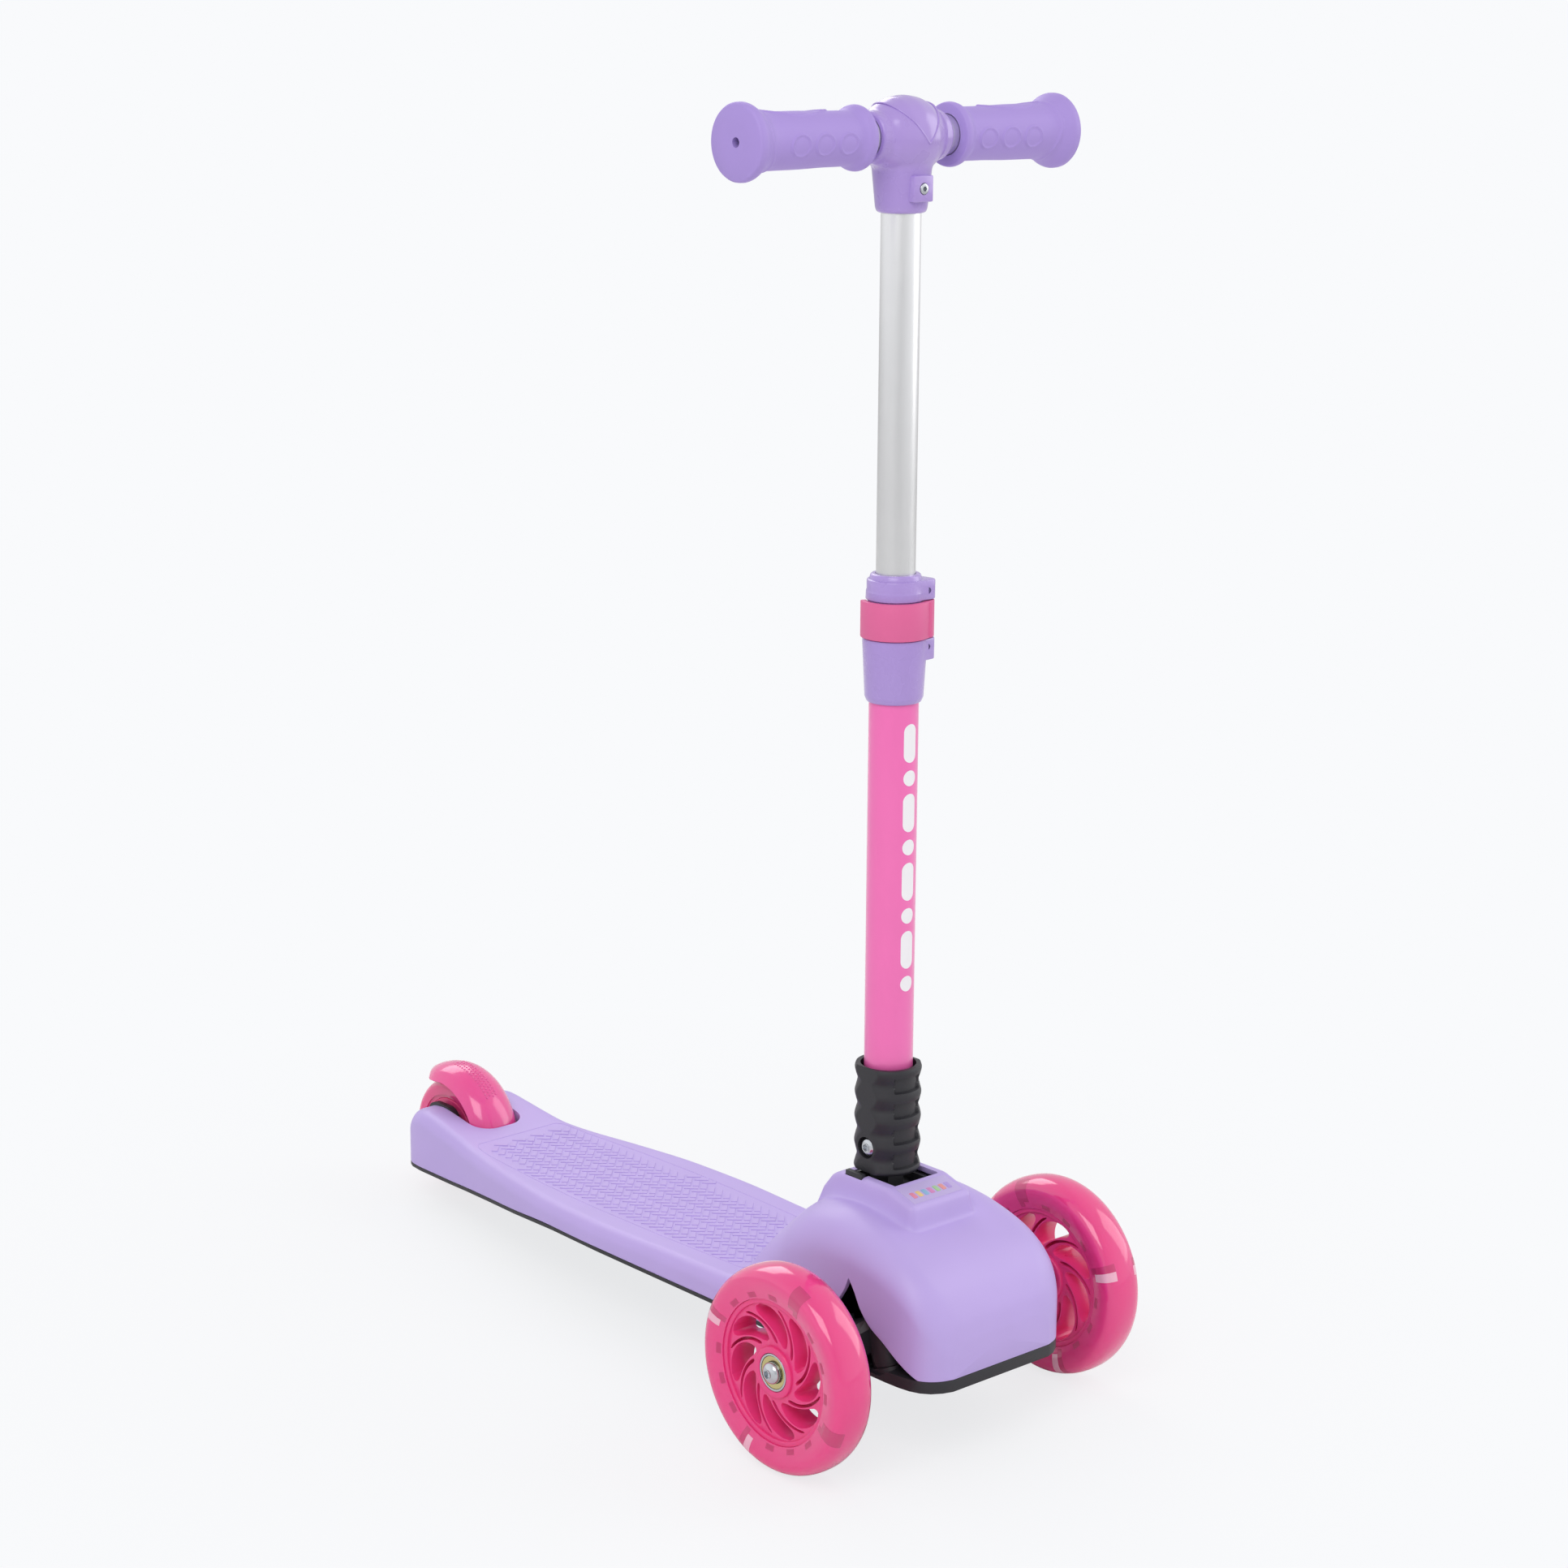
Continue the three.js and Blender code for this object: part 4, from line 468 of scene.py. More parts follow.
def carried(name, body, look, bevel=0.35, angle=30):
    """A CAD node's own shape with its triangles merged and its edges eased."""
    bm = bmesh.new()
    bm.from_mesh(frame["nodes"][name].data)
    bm.transform(Matrix.Scale(1 / MM, 4))
    cleaned(bm, 0.002)
    bmesh.ops.dissolve_limit(bm, angle_limit=math.radians(1), verts=bm.verts, edges=bm.edges)
    piece(name, combined(bm, then=[eased(bevel, angle)]), body, look, Matrix.Scale(MM, 4), name)


def steel(name, bm, body, place):
    piece(name, bm, body, "zinc_steel", place, name)


def through(places, values, samples):
    """Monotone cubic curve through (place, value) pairs."""
    x, y, s = np.array(places, float), np.array(values, float), np.array(samples, float)
    width, slope = np.diff(x), np.diff(y) / np.diff(x)
    tangent = np.zeros(len(x))
    tangent[0], tangent[-1] = slope[0], slope[-1]
    same = slope[:-1] * slope[1:] > 0
    w1, w2 = 2 * width[1:] + width[:-1], width[1:] + 2 * width[:-1]
    with np.errstate(divide="ignore", invalid="ignore"):
        mean = (w1 + w2) / (w1 / slope[:-1] + w2 / slope[1:])
    tangent[1:-1] = np.where(same, mean, 0)
    i = np.clip(np.searchsorted(x, s) - 1, 0, len(x) - 2)
    t = np.clip((s - x[i]) / width[i], 0, 1)
    return ((1 + 2 * t) * (1 - t) ** 2 * y[i] + t * (1 - t) ** 2 * width[i] * tangent[i]
            + t * t * (3 - 2 * t) * y[i + 1] + t * t * (t - 1) * width[i] * tangent[i + 1])


def value_at(table, place):
    return float(through(*zip(*table), [place])[0])


# Hood and deck: sections from nose to tail as shares of length, half width, rise, corner, fall
BODY_SHARES = [
    (0, 0.6, 0.12, 0.19, 0), (0.004, 0.7, 0.28, 0.24, 0), (0.011, 0.79, 0.41, 0.27, 0),
    (0.02, 0.85, 0.53, 0.28, 0), (0.032, 0.89, 0.635, 0.28, 0), (0.047, 0.91, 0.73, 0.29, 0),
    (0.066, 0.918, 0.815, 0.3, 0), (0.095, 0.92, 0.9, 0.32, 0), (0.13, 0.92, 0.965, 0.34, 0),
    (0.17, 0.92, 1, 0.38, 0), (0.205, 0.92, 0.97, 0.43, 0), (0.23, 0.92, 0.9, 0.48, 0),
    (0.25, 0.92, 0.77, 0.5, 0), (0.27, 0.921, 0.61, 0.47, 0), (0.29, 0.923, 0.4, 0.38, 0),
    (0.308, 0.926, 0.17, 0.27, 0), (0.325, 0.93, 0.03, 0.17, 0), (0.345, 0.935, 0, 0.13, -0.1),
    (0.44, 0.96, 0, 0.13, -0.2), (0.55, 1, 0, 0.13, -0.36), (0.64, 0.98, 0, 0.13, -0.36),
    (0.73, 0.89, 0, 0.13, 0.03), (0.8, 0.79, 0, 0.13, 0.37), (0.86, 0.7, 0.02, 0.13, 0.7),
    (0.9, 0.665, 0.065, 0.13, 0.85), (0.94, 0.645, 0.12, 0.14, 0.92), (0.97, 0.63, 0.15, 0.14, 0.97),
    (0.99, 0.605, 0.13, 0.16, 1), (1, 0.57, 0.07, 0.16, 1),
]
HALF, DECK_Z, RISE, NOSE_Z, FALL, WALL = 63, 66.5, 63, 46.5, 10.5, 3
row_index = np.arange(len(BODY_SHARES))
fine_index = np.linspace(0, len(BODY_SHARES) - 1, 1400)
FINE = np.stack([through(row_index, column, fine_index) for column in zip(*BODY_SHARES)])
FINE_Y = NOSE + FINE[0] * LENGTH


def body_at(y):
    """Half width, top, corner radius and bottom of the body at a place along it."""
    width, rise, corner, fall = [np.interp(y, FINE_Y, FINE[k]) for k in (1, 2, 3, 4)]
    return HALF * width, DECK_Z + RISE * rise, HALF * corner, NOSE_Z - FALL * fall


ARCH_FRONT = [(0, 1), (0.085, 0.877), (0.185, 0.7), (0.32, 0.56), (0.555, 0.423), (0.735, 0.302), (1, 0.14)]
ARCH_REAR = [(0, 1), (0.1, 0.87), (0.34, 0.66), (0.65, 0.4), (1, 0.07)]
ARCH_Y, ARCH_Z, ARCH_FORWARD, ARCH_BACK = 3, 99.5, 53, 30
LIP_NOSE, LIP, LIP_FROM, LIP_TO = 7.3, 2.7, -30, -23


def shell_edge(y):
    """Height of the shell's lower edge: over the lip, up round the wheel arch, then along the tray."""
    lip = body_at(y)[3] + float(np.interp(y, (LIP_FROM, LIP_TO), (LIP_NOSE, LIP)))
    reach, table = (ARCH_FORWARD, ARCH_FRONT) if y < ARCH_Y else (ARCH_BACK, ARCH_REAR)
    share = abs(y - ARCH_Y) / reach
    if share > 1:
        return lip
    return max(lip, NOSE_Z + (ARCH_Z - NOSE_Z) * value_at(table, share))


# The raised platform round the stem: its top along the body, and its outline in plan
PAD_FRONT_Z, PLATFORM_Z, PAD_FRONT_Y, PAD_BACK_Y = 136, 142.4, -12.5, 9
PLATFORM = [(-40, 118), (PAD_FRONT_Y, PAD_FRONT_Z), (PAD_BACK_Y, PLATFORM_Z), (44, PLATFORM_Z), (50, 141.2),
            (55.5, 138.4), (62, 130.5), (72, 110), (92, 60)]
PLATFORM_HALF, PLATFORM_FRONT, PLATFORM_EDGE, PLATFORM_FALL, PLATFORM_SLOPE = 20, -8.5, 4, 12, 2.4


def platform_at(x, y):
    """Height of the platform, falling away past its rounded outline."""
    top = float(np.interp(y, *zip(*PLATFORM))) - PLATFORM_EDGE
    out = math.hypot(max(abs(x) - PLATFORM_HALF, 0), max(PLATFORM_FRONT - y, 0))
    if out < PLATFORM_EDGE:
        return top + math.sqrt(PLATFORM_EDGE ** 2 - out * out)
    return top - PLATFORM_FALL * math.tanh((out - PLATFORM_EDGE) / PLATFORM_SLOPE)


def soft_max(a, b, size):
    h = max(size - abs(a - b), 0) / size
    return max(a, b) + h * h * size / 4


# Columns of the sections, close together where the platform falls away
COLUMNS = [0, 5, 10, 14, 17, 18.5, 19.5, 20.5, 21.3, 22, 22.6, 23.1, 23.5, 23.9, 24.3, 24.8, 25.4, 26.1,
           27, 28.2, 30]
OUTER_COLUMNS, OUTER_FROM, SAMPLES = 34, 30.3, 60
BLEND_X, BLEND_FRONT, BLEND_BACK, BLEND = 36, -30, 92, 4


def shell_section(y, wall=0.0, lowest=None):
    """Half a section, from the middle of the top to the lower edge, as (x, z) points."""
    width, top, corner = body_at(y)[:3]
    width, top, corner = width - wall, top - wall, max(corner - wall, 1.5)
    bottom = lowest if lowest is not None else shell_edge(y)
    line = [(x, top) for x in np.linspace(0, max(width - corner, 0.1), SAMPLES)]
    line += [(width - corner + corner * math.sin(a), top - corner + corner * math.cos(a))
             for a in np.linspace(0, PI / 2, SAMPLES)]
    if bottom < line[-1][1]:
        line += [(width, z) for z in np.linspace(line[-1][1], bottom, SAMPLES)[1:]]
    line = np.array([p for p in line if p[1] >= bottom - TINY])
    over = line[:2 * SAMPLES]
    points = [(x, float(np.interp(x, over[:, 0], over[:, 1]))) for x in COLUMNS]
    far = line[line[:, 0] > OUTER_FROM]
    length = np.concatenate([[0], np.cumsum(np.hypot(*np.diff(far, axis=0).T))])
    spots = np.linspace(0, length[-1], OUTER_COLUMNS)
    points += list(zip(np.interp(spots, length, far[:, 0]), np.interp(spots, length, far[:, 1])))
    if BLEND_FRONT < y < BLEND_BACK:
        points = [(x, soft_max(z, platform_at(x, y) - wall, BLEND) if x < BLEND_X else z)
                  for x, z in points]
    return points


def stations():
    """Places of the sections: close at the nose, the platform's front and the tail."""
    nose_end, hood_end, slot_start, tail_start = -44, 118, 386, 448
    step = np.hypot(np.diff(FINE_Y), np.hypot(HALF * np.diff(FINE[1]), RISE * np.diff(FINE[2])))
    length = np.concatenate([[0], np.cumsum(step)])
    near = [float(np.interp(s, length, FINE_Y)) for s in np.arange(0, length[-1], 1.6)]
    places = [y for y in near if y < nose_end or y > tail_start] + [ARCH_Y, TAIL]
    for start, stop, pitch in ((nose_end, hood_end, 2), (-16.6, -8, 0.6), (hood_end, slot_start, 8),
                               (slot_start, tail_start, 2.5)):
        places += list(np.arange(start, stop, pitch))
    return sorted(set(round(y, 3) for y in places))


def mirrored(half, y):
    return [(-x, y, z) for x, z in half[::-1]] + [(x, y, z) for x, z in half[1:]]


def shell_skin():
    """Outer and inner skins joined along the lower edge."""
    outer, inner = [], []
    for y in stations():
        half = shell_section(y)
        inside_y = min(max(y, NOSE + WALL), TAIL - WALL)
        outer.append(mirrored(half, y))
        inner.append(mirrored(shell_section(inside_y, WALL, half[-1][1] + 0.01), inside_y))
    rows, columns = len(outer), len(outer[0])
    verts = [p for row in outer + inner for p in row]
    shift = rows * columns
    faces = []
    for i in range(rows - 1):
        for j in range(columns - 1):
            a, b = i * columns + j, (i + 1) * columns + j
            faces.append((a, a + 1, b + 1, b))
            faces.append((shift + a, shift + b, shift + b + 1, shift + a + 1))
        for j in (0, columns - 1):
            a, b = i * columns + j, (i + 1) * columns + j
            faces.append((a, b, shift + b, shift + a))
    for i in (0, rows - 1):
        row = [i * columns + j for j in range(columns)]
        for start in (0, shift):
            middle = len(verts)
            verts.append((0, *np.mean([verts[start + v] for v in row], axis=0)[1:]))
            for j in range(columns - 1):
                faces.append((start + row[j], start + row[j + 1], middle))
        faces.append((row[0], row[-1], shift + row[-1], shift + row[0]))
        faces.append((row[0], len(verts) - 2, row[-1]))
        faces.append((shift + row[0], len(verts) - 1, shift + row[-1]))
    return cleaned(mesh_of(verts, faces), 0.002)


# The rear wheel's slot: through the deck from LIP_Y back, and from SLOT_Y back under its skin
SLOT_HALF, SLOT_Y, SLOT_CORNER, LIP_Y, LIP_CORNER = 19.5, 390.5, 8, 399.5, 14
OVER = 6


def slot_outline(front, corner):
    left = [(-SLOT_HALF + corner - x, front + corner - y) for x, y in arc(corner, 0, PI / 2, 8)]
    right = [(-x, y) for x, y in left[::-1]]
    return [(-SLOT_HALF, TAIL + OVER)] + left + right + [(SLOT_HALF, TAIL + OVER)]


def slot_frame():
    """Walls round the rear wheel's slot, under the deck's skin."""
    half = SLOT_HALF + WALL
    grid = []
    for y in np.linspace(SLOT_Y - WALL, TAIL - 1, 24):
        top, bottom = body_at(y)[1] - 1.5, body_at(y)[3] + 2.8
        grid.append([(-half, y, bottom), (half, y, bottom), (half, y, top), (-half, y, top)])
    return lofted(grid)


def top_shell():
    half, above, below = 17.3, 160, 20
    opening = prism([rectangle(-half, PAD_BACK_Y, half, 50.3, 2)], 60, above)
    channel = block((-half, STEM_Y, 139), (half, 80, above))
    cheeks = block((-22.9, 30.7, 134.2), (22.9, 44.8, above))
    slot = prism([slot_outline(LIP_Y, LIP_CORNER)], below, 140)
    under_lip = prism([slot_outline(SLOT_Y, SLOT_CORNER)], below, DECK_Z - WALL)
    cuts = [opening, channel, cheeks, slot, under_lip]
    bm = combined(shell_skin(), [slot_frame()], cuts, [eased(0.7, 50)])
    piece("hood_and_deck", bm, "frame", "purple_plastic", BODY, "top_shell")


# Raised herringbone bricks of the tread inside a thin outline
PANEL = [(108, 35), (114, 38.5), (130, 40), (160, 41.2), (200, 42.6), (250, 43.2), (300, 41.8), (330, 40),
         (360, 37.6), (381, 35.2), (387, 31)]
PANEL_FROM, PANEL_MIDDLE, PANEL_TO, PANEL_EDGE = 110, 250, 385, 0.8
BRICK_LENGTH, BRICK_WIDTH, BRICK_GAP, BRICK_HEIGHT, BRICK_SINK, BRICK_TOP = 10.4, 5.2, 1.1, 0.95, 0.5, 0.93


def tread_points():
    """Place and turn of every brick that lies wholly inside the panel."""
    count = round(BRICK_LENGTH / BRICK_WIDTH)
    step = BRICK_WIDTH / math.sqrt(2)
    lean = BRICK_LENGTH / 2 / math.sqrt(2) + PANEL_EDGE
    reach = range(-60, 60)
    out = []
    for i, j in ((i, j) for i in reach for j in reach):
        kind = (i - j) % (2 * count)
        if kind == 0:
            u, v, turn = i + count / 2, j + 0.5, PI / 4
        elif kind == 2 * count - 1:
            u, v, turn = i + 0.5, j + count / 2, 3 * PI / 4
        else:
            continue
        x, y = (u - v) * step, PANEL_MIDDLE + (u + v) * step
        if not PANEL_FROM + lean < y < PANEL_TO - lean:
            continue
        if abs(x) + lean < min(value_at(PANEL, y - lean), value_at(PANEL, y + lean)):
            out.append((x, y, body_at(y)[1] - BRICK_SINK, turn))
    return out


def brick_tree():
    """Geometry nodes that set an eased brick on every point, turned by the point's attribute."""
    tree = bpy.data.node_groups.new("bricks", "GeometryNodeTree")
    for way in ("INPUT", "OUTPUT"):
        tree.interface.new_socket("Geometry", in_out=way, socket_type="NodeSocketGeometry")
    sizes = {}
    for name, value in (("Length", BRICK_LENGTH - BRICK_GAP), ("Width", BRICK_WIDTH - BRICK_GAP),
                        ("Height", BRICK_HEIGHT)):
        socket = tree.interface.new_socket(name, in_out="INPUT", socket_type="NodeSocketFloat")
        sizes[socket.identifier] = value
    given = make_node(tree, "NodeGroupInput")
    plate = make_node(tree, "GeometryNodeMeshGrid", {
        "Size X": given["Length"], "Size Y": given["Width"], "Vertices X": 2, "Vertices Y": 2})
    raised = make_node(tree, "GeometryNodeExtrudeMesh", {
        "Mesh": plate["Mesh"], "Offset Scale": given["Height"]})
    narrowed = make_node(tree, "GeometryNodeScaleElements", {
        "Geometry": raised["Mesh"], "Selection": raised["Top"], "Scale": BRICK_TOP})
    turn = make_node(tree, "GeometryNodeInputNamedAttribute", {"Name": "turn"}, data_type="FLOAT")
    angle = make_node(tree, "ShaderNodeCombineXYZ", {"Z": turn["Attribute"]})
    placed = make_node(tree, "GeometryNodeInstanceOnPoints", {
        "Points": given["Geometry"], "Instance": narrowed["Geometry"], "Rotation": angle["Vector"]})
    real = make_node(tree, "GeometryNodeRealizeInstances", {"Geometry": placed["Instances"]})
    coated = make_node(tree, "GeometryNodeSetMaterial", {
        "Geometry": real["Geometry"], "Material": LOOK["purple_plastic"]})
    make_node(tree, "NodeGroupOutput", {"Geometry": coated["Geometry"]})
    return tree, sizes


def tread():
    spots = tread_points()
    mesh = bpy.data.meshes.new("tread_points")
    mesh.from_pydata([s[:3] for s in spots], [], [])
    mesh.attributes.new("turn", "FLOAT", "POINT").data.foreach_set("value", [s[3] for s in spots])
    obj = new_object("tread_points", mesh)
    modifier = obj.modifiers.new("bricks", "NODES")
    modifier.node_group, sizes = brick_tree()
    for key, value in sizes.items():
        modifier[key] = value
    bm = cleaned(evaluated(obj), 1e-5)
    bmesh.ops.holes_fill(bm, edges=[edge for edge in bm.edges if edge.is_boundary])
    bmesh.ops.recalc_face_normals(bm, faces=bm.faces)
    outline = [(value_at(PANEL, y), y) for y in np.linspace(112, 386, 60)]
    outline = [(-x, y) for x, y in outline] + [(x, y) for x, y in outline[::-1]]
    path = [(x, y, body_at(y)[1] - 0.12) for x, y in rounded(outline, 3)]
    bm = merged(bm, tube(path, 0.42, 6, closed=True))
    piece("deck_tread", bm, "frame", "purple_plastic", BODY, sharp=20)


# Wheels, drawn about X with the outer side at negative x
def tyre_profile(radius, rim, half):
    """Round shoulders from the tread's middle down the side to the rim."""
    side = radius - 0.62 * half
    curve = [(side + (radius - side) * math.cos(a) ** 0.8, half * math.sin(a) ** 0.92)
             for a in np.linspace(0, PI / 2, 16)[:-1]]
    flank = [(side, half), (side - 3.5, half - 0.3)]
    return curve + flank + [(rim + 2.5, half - 1.6), (rim + 0.05, half - 2.2)]


def tyre(name, body, radius, rim, width, place):
    right = tyre_profile(radius, rim, width / 2)
    left = [(r, -x) for r, x in right[:0:-1]]
    piece(name, turned(left + right, 128, X_AXIS), body, "clear_pink", place, name)


def swirl(start, slope, inner, outer, half_at, count):
    """Outline of an opening whose middle line turns as it goes out, in degrees for each millimetre."""
    middle = 30
    sides = [[], []]
    for share in np.linspace(0, 1, count):
        radius = inner + share * (outer - inner)
        angle = math.radians(start + slope * (radius - middle))
        for k, sign in enumerate((-1, 1)):
            turn = angle + sign * half_at(share) / radius
            sides[k].append((-radius * math.sin(turn), -radius * math.cos(turn)))
    return sides[0] + sides[1][::-1]


def round_end(share):
    """Width of a round end at a share of its length, 0 at its tip and 1 where it meets the straight."""
    return math.sqrt(max(1 - (1 - share) ** 2, 0)) if share < 1 else 1


def window_half(share):
    """Half width of a spoke window: it grows outward and ends round."""
    grow = 2.2 + 7.2 * math.sin(min(share / 0.78, 1) * PI / 2) ** 1.15
    return max(grow * round_end((1 - share) / 0.3) * round_end(share / 0.1), 0.15)


def groove_half(share):
    return 1.35 * round_end(min(share, 1 - share) / 0.08) + 0.05


SPOKES = 8


def front_hub(name, body, place):
    pitch = 360 / SPOKES
    windows = [swirl(94 + pitch * k, 2.05, 17.6, 38.6, window_half, 24) for k in range(SPOKES)]
    grooves = [swirl(116.5 + pitch * k, 2.3, 17.2, 37.4, groove_half, 22) for k in range(SPOKES)]
    disc = prism([circle(40.6, 128), circle(12.5, 64)] + windows, -8.6, 8.6, 0.5)
    floor, above = 3.2, 12
    cutters = [prism([g], low, high) for g in grooves for low, high in ((-above, -floor), (floor, above))]
    disc = combined(disc, cut=[merged(*cutters)])
    half, inside, crisp = 10, 39.2, 0.15
    rim = turned(rounded([(inside, -half), (FRONT_RIM, -half, crisp), (FRONT_RIM, half, crisp),
                          (inside, half)], 0.8), 128)
    seat, stop, boss_r, boss_half, step = BEARING_R + FIT, 9.2, 14.8, 10.5, 3.6
    boss = turned(rounded([(seat, -boss_half), (boss_r, -boss_half, 1.2), (boss_r, boss_half, 1.2),
                           (seat, boss_half), (seat, step, 0), (stop, step, 0), (stop, -step, 0),
                           (seat, -step, 0)], 0.5), 96)
    bm = merged(disc, rim, boss)
    bm.transform(X_AXIS)
    piece(name, bm, body, "pink_plastic", place, name)


def side_patch(start, stop, low, high, side):
    """Thin plate over a front tyre's side, between two angles and two radii."""
    lift, sink = 0.1, 0.6
    profile = sorted(tyre_profile(FRONT_R, FRONT_RIM, FRONT_WIDTH / 2))
    radii = np.linspace(low, high, 22)
    depth = np.interp(radii, *zip(*profile))
    ring_points = list(zip(radii, depth + lift)) + list(zip(radii, depth - sink))[::-1]
    patch = lofted([[(d, -r * math.cos(angle), r * math.sin(angle)) for r, d in ring_points]
                    for angle in np.linspace(start, stop, 7)])
    patch.transform(Matrix.Diagonal((side, 1, 1, 1)))
    return patch


def wheel_marks(name, body, place):
    """Dark dashes, four wide bands and two pale wedges on both sides of a front tyre."""
    first, marks, bands, with_wedge = 68.5, 16, 4, (4, 8)
    dash_half, band_back, band_ahead = 0.07, 0.08, 0.095
    dash_low, dash_high, band_low, wedge_low, band_high = 43, 46, 43.2, 46, 59
    dark, band, pale = [], [], []
    for side in (-1, 1):
        for k in range(marks):
            middle = math.radians(first + 360 / marks * k)
            if k % (marks // bands):
                dark.append(side_patch(middle - dash_half, middle + dash_half, dash_low, dash_high, side))
                continue
            band.append(side_patch(middle - band_back, middle, band_low, band_high, side))
            group = pale if k in with_wedge else band
            group.append(side_patch(middle, middle + band_ahead, wedge_low, band_high, side))
    for part, group, look, slot in (("dashes", dark, "deep_pink", "clear_pink"),
                                    ("bands", band, "band_pink", "clear_pink"),
                                    ("windows", pale, "wedge_pink", "clear_plastic")):
        piece(f"{name}_{part}", cleaned(merged(*group), TINY), body, look, place, slot=slot)


def bearing(name, body, place, at):
    """Sealed bearing: outer ring, gold shield, dark seal line and inner ring."""
    half, outer_race, inner_race = BEARING_HALF, 9.6, 6.1
    metal = merged(ring(outer_race, BEARING_R, -half, half, 0.3, 64),
                   ring(BEARING_BORE, inner_race, -half, half, 0.25, 64))
    low, high = half - 0.5, half - 0.3
    shield = turned(rounded([(6.4, -low), (9.4, -high), (9.4, high), (6.4, low)], 0.2), 64)
    seal = ring(6.0, 9.7, 0.7 - half, half - 0.7, 0, 64)
    spot = place @ move(at) @ X_AXIS
    steel(name, metal, body, spot)
    piece(f"{name}_shield", shield, body, "zinc_gold", spot, slot="zinc_steel")
    piece(f"{name}_seal", seal, body, "dark_seal", spot, slot="zinc_steel")


def bearing_spacer(name, body, place):
    steel(name, ring(BEARING_BORE, 5.4, -3.1, 3.1, 0.2, 48, X_AXIS), body, place)


def hexagon(radius):
    return circle(radius, 6)


def hex_nut(size, bore, low, high):
    return combined(prism([hexagon(size)], low, high, 0.3), cut=[rod(bore, low - 5, high + 5, 48)])


def button_bolt(shank, head, height, length, socket=2.4, depth=2.4):
    """Button head at the top, pointing along +Z, its seat at zero, the shank below."""
    rim = 0.35
    profile = [(0, -length), (shank - 0.5, -length), (shank, -length + 0.6), (shank, 0), (head - 0.2, 0),
               (head, rim)]
    profile += [(head * math.cos(a), rim + (height - rim) * math.sin(a))
                for a in np.linspace(0, 1.15, 9)[1:]]
    profile += [(socket + 0.5, height - 0.05), (0, height - 0.05)]
    return combined(turned(profile, 64), cut=[prism([hexagon(socket)], height - depth, height + 2)])


def front_wheel(side_name, side):
    place = wheel_place(side)
    body = f"{side_name}_wheel"
    tyre(f"{body}_tyre", body, FRONT_R, FRONT_RIM, FRONT_WIDTH, place)
    front_hub(f"{body}_hub", body, place)
    wheel_marks(body, body, place)
    bearing(f"{body}_bearing_outer", body, place, -BEARING_X)
    bearing(f"{body}_bearing_inner", body, place, BEARING_X)
    bearing_spacer(f"{body}_bearing_spacer", body, place)
    light = ring(40.5, FRONT_RIM - 0.15, -4, 4, 0.3, 96, X_AXIS)
    piece(f"{body}_light_ring", light, body, "clear_plastic", place, f"{body}_light_ring")
    spot = place @ move(-BESIDE_HUB) @ turned_about("Y", -90)
    steel(f"{side_name}_axle_bolt", button_bolt(AXLE_R, 6.3, 4, 50), f"{side_name}_knuckle_body", spot)


def rear_wheel():
    body = "rear_wheel"
    tyre("rear_tyre", body, REAR_R, REAR_RIM, REAR_WIDTH, REAR_WHEEL)
    disc = turned(rounded([(13.5, -4.6), (21, -3.6), (21, 3.6), (13.5, 4.6)], 0.8), 96)
    rim = ring(20, REAR_RIM - 0.1, -10, 10, 0.9)
    seat, boss_r, half = BEARING_R + FIT, 14.6, 10.5
    boss = turned(rounded([(seat, -half), (boss_r, -half, 1), (boss_r, half, 1), (seat, half)], 0.5), 96)
    bm = merged(disc, rim, boss)
    bm.transform(X_AXIS)
    count = 10
    webs = []
    for k in range(count):
        web = block((-8.6, -0.9, 14), (8.6, 0.9, 21), 0.4)
        web.transform(turned_about("X", 360 / count * k))
        webs.append(web)
    piece("rear_hub", merged(bm, *webs), body, "pink_plastic", REAR_WHEEL, "rear_hub")
    bearing("rear_bearing_left", body, REAR_WHEEL, -BEARING_X)
    bearing("rear_bearing_right", body, REAR_WHEEL, BEARING_X)
    bearing_spacer("rear_bearing_spacer", body, REAR_WHEEL)
    fork = 19.5
    spot = REAR_AXLE @ move(z=-fork) @ turned_about("X", 180)
    steel("rear_axle_bolt", button_bolt(AXLE_R, 6.3, 4, 46), "frame", spot)
    steel("rear_axle_nut", hex_nut(5.4, AXLE_R + 0.15, fork, 25.2), "frame", REAR_AXLE)
    for side, name in ((-1, "left"), (1, "right")):
        low, high = sorted((side * BESIDE_HUB, side * 14.7))
        steel(f"rear_axle_spacer_{name}", ring(AXLE_R + 0.15, 6, low, high, 0.25, 48), "frame", REAR_AXLE)


# Brake fender: a domed strip bent round the rear wheel with rows of small dots
FENDER_R, FENDER_HALF, FENDER_DEPTH, FENDER_WALL, FENDER_DOME = 48, 18, 13, 2.5, 0.93
FENDER_FROM, FENDER_TO, BRAKE_HALF, BRAKE_Y, BRAKE_Z = -84, 33, 16, 396, 52


def fender_fall(share):
    """How far the dome has fallen at a share of its half width."""
    return FENDER_DEPTH * (1 - math.sqrt(1 - FENDER_DOME * share * share))


def fender_row(angle, end, thin):
    """Points across the strip; end narrows its rounded tip and thin is 1 on the underside."""
    row = []
    for share in np.linspace(-1, 1, 17):
        edge = 0.5 if abs(share) > 0.99 else 1
        radius = FENDER_R - end * fender_fall(share) - thin * FENDER_WALL * edge
        x = FENDER_HALF * end * share * (1 - 0.1 * thin)
        row.append((x, WHEELBASE + radius * math.sin(angle), REAR_AXLE_Z + radius * math.cos(angle)))
    return row


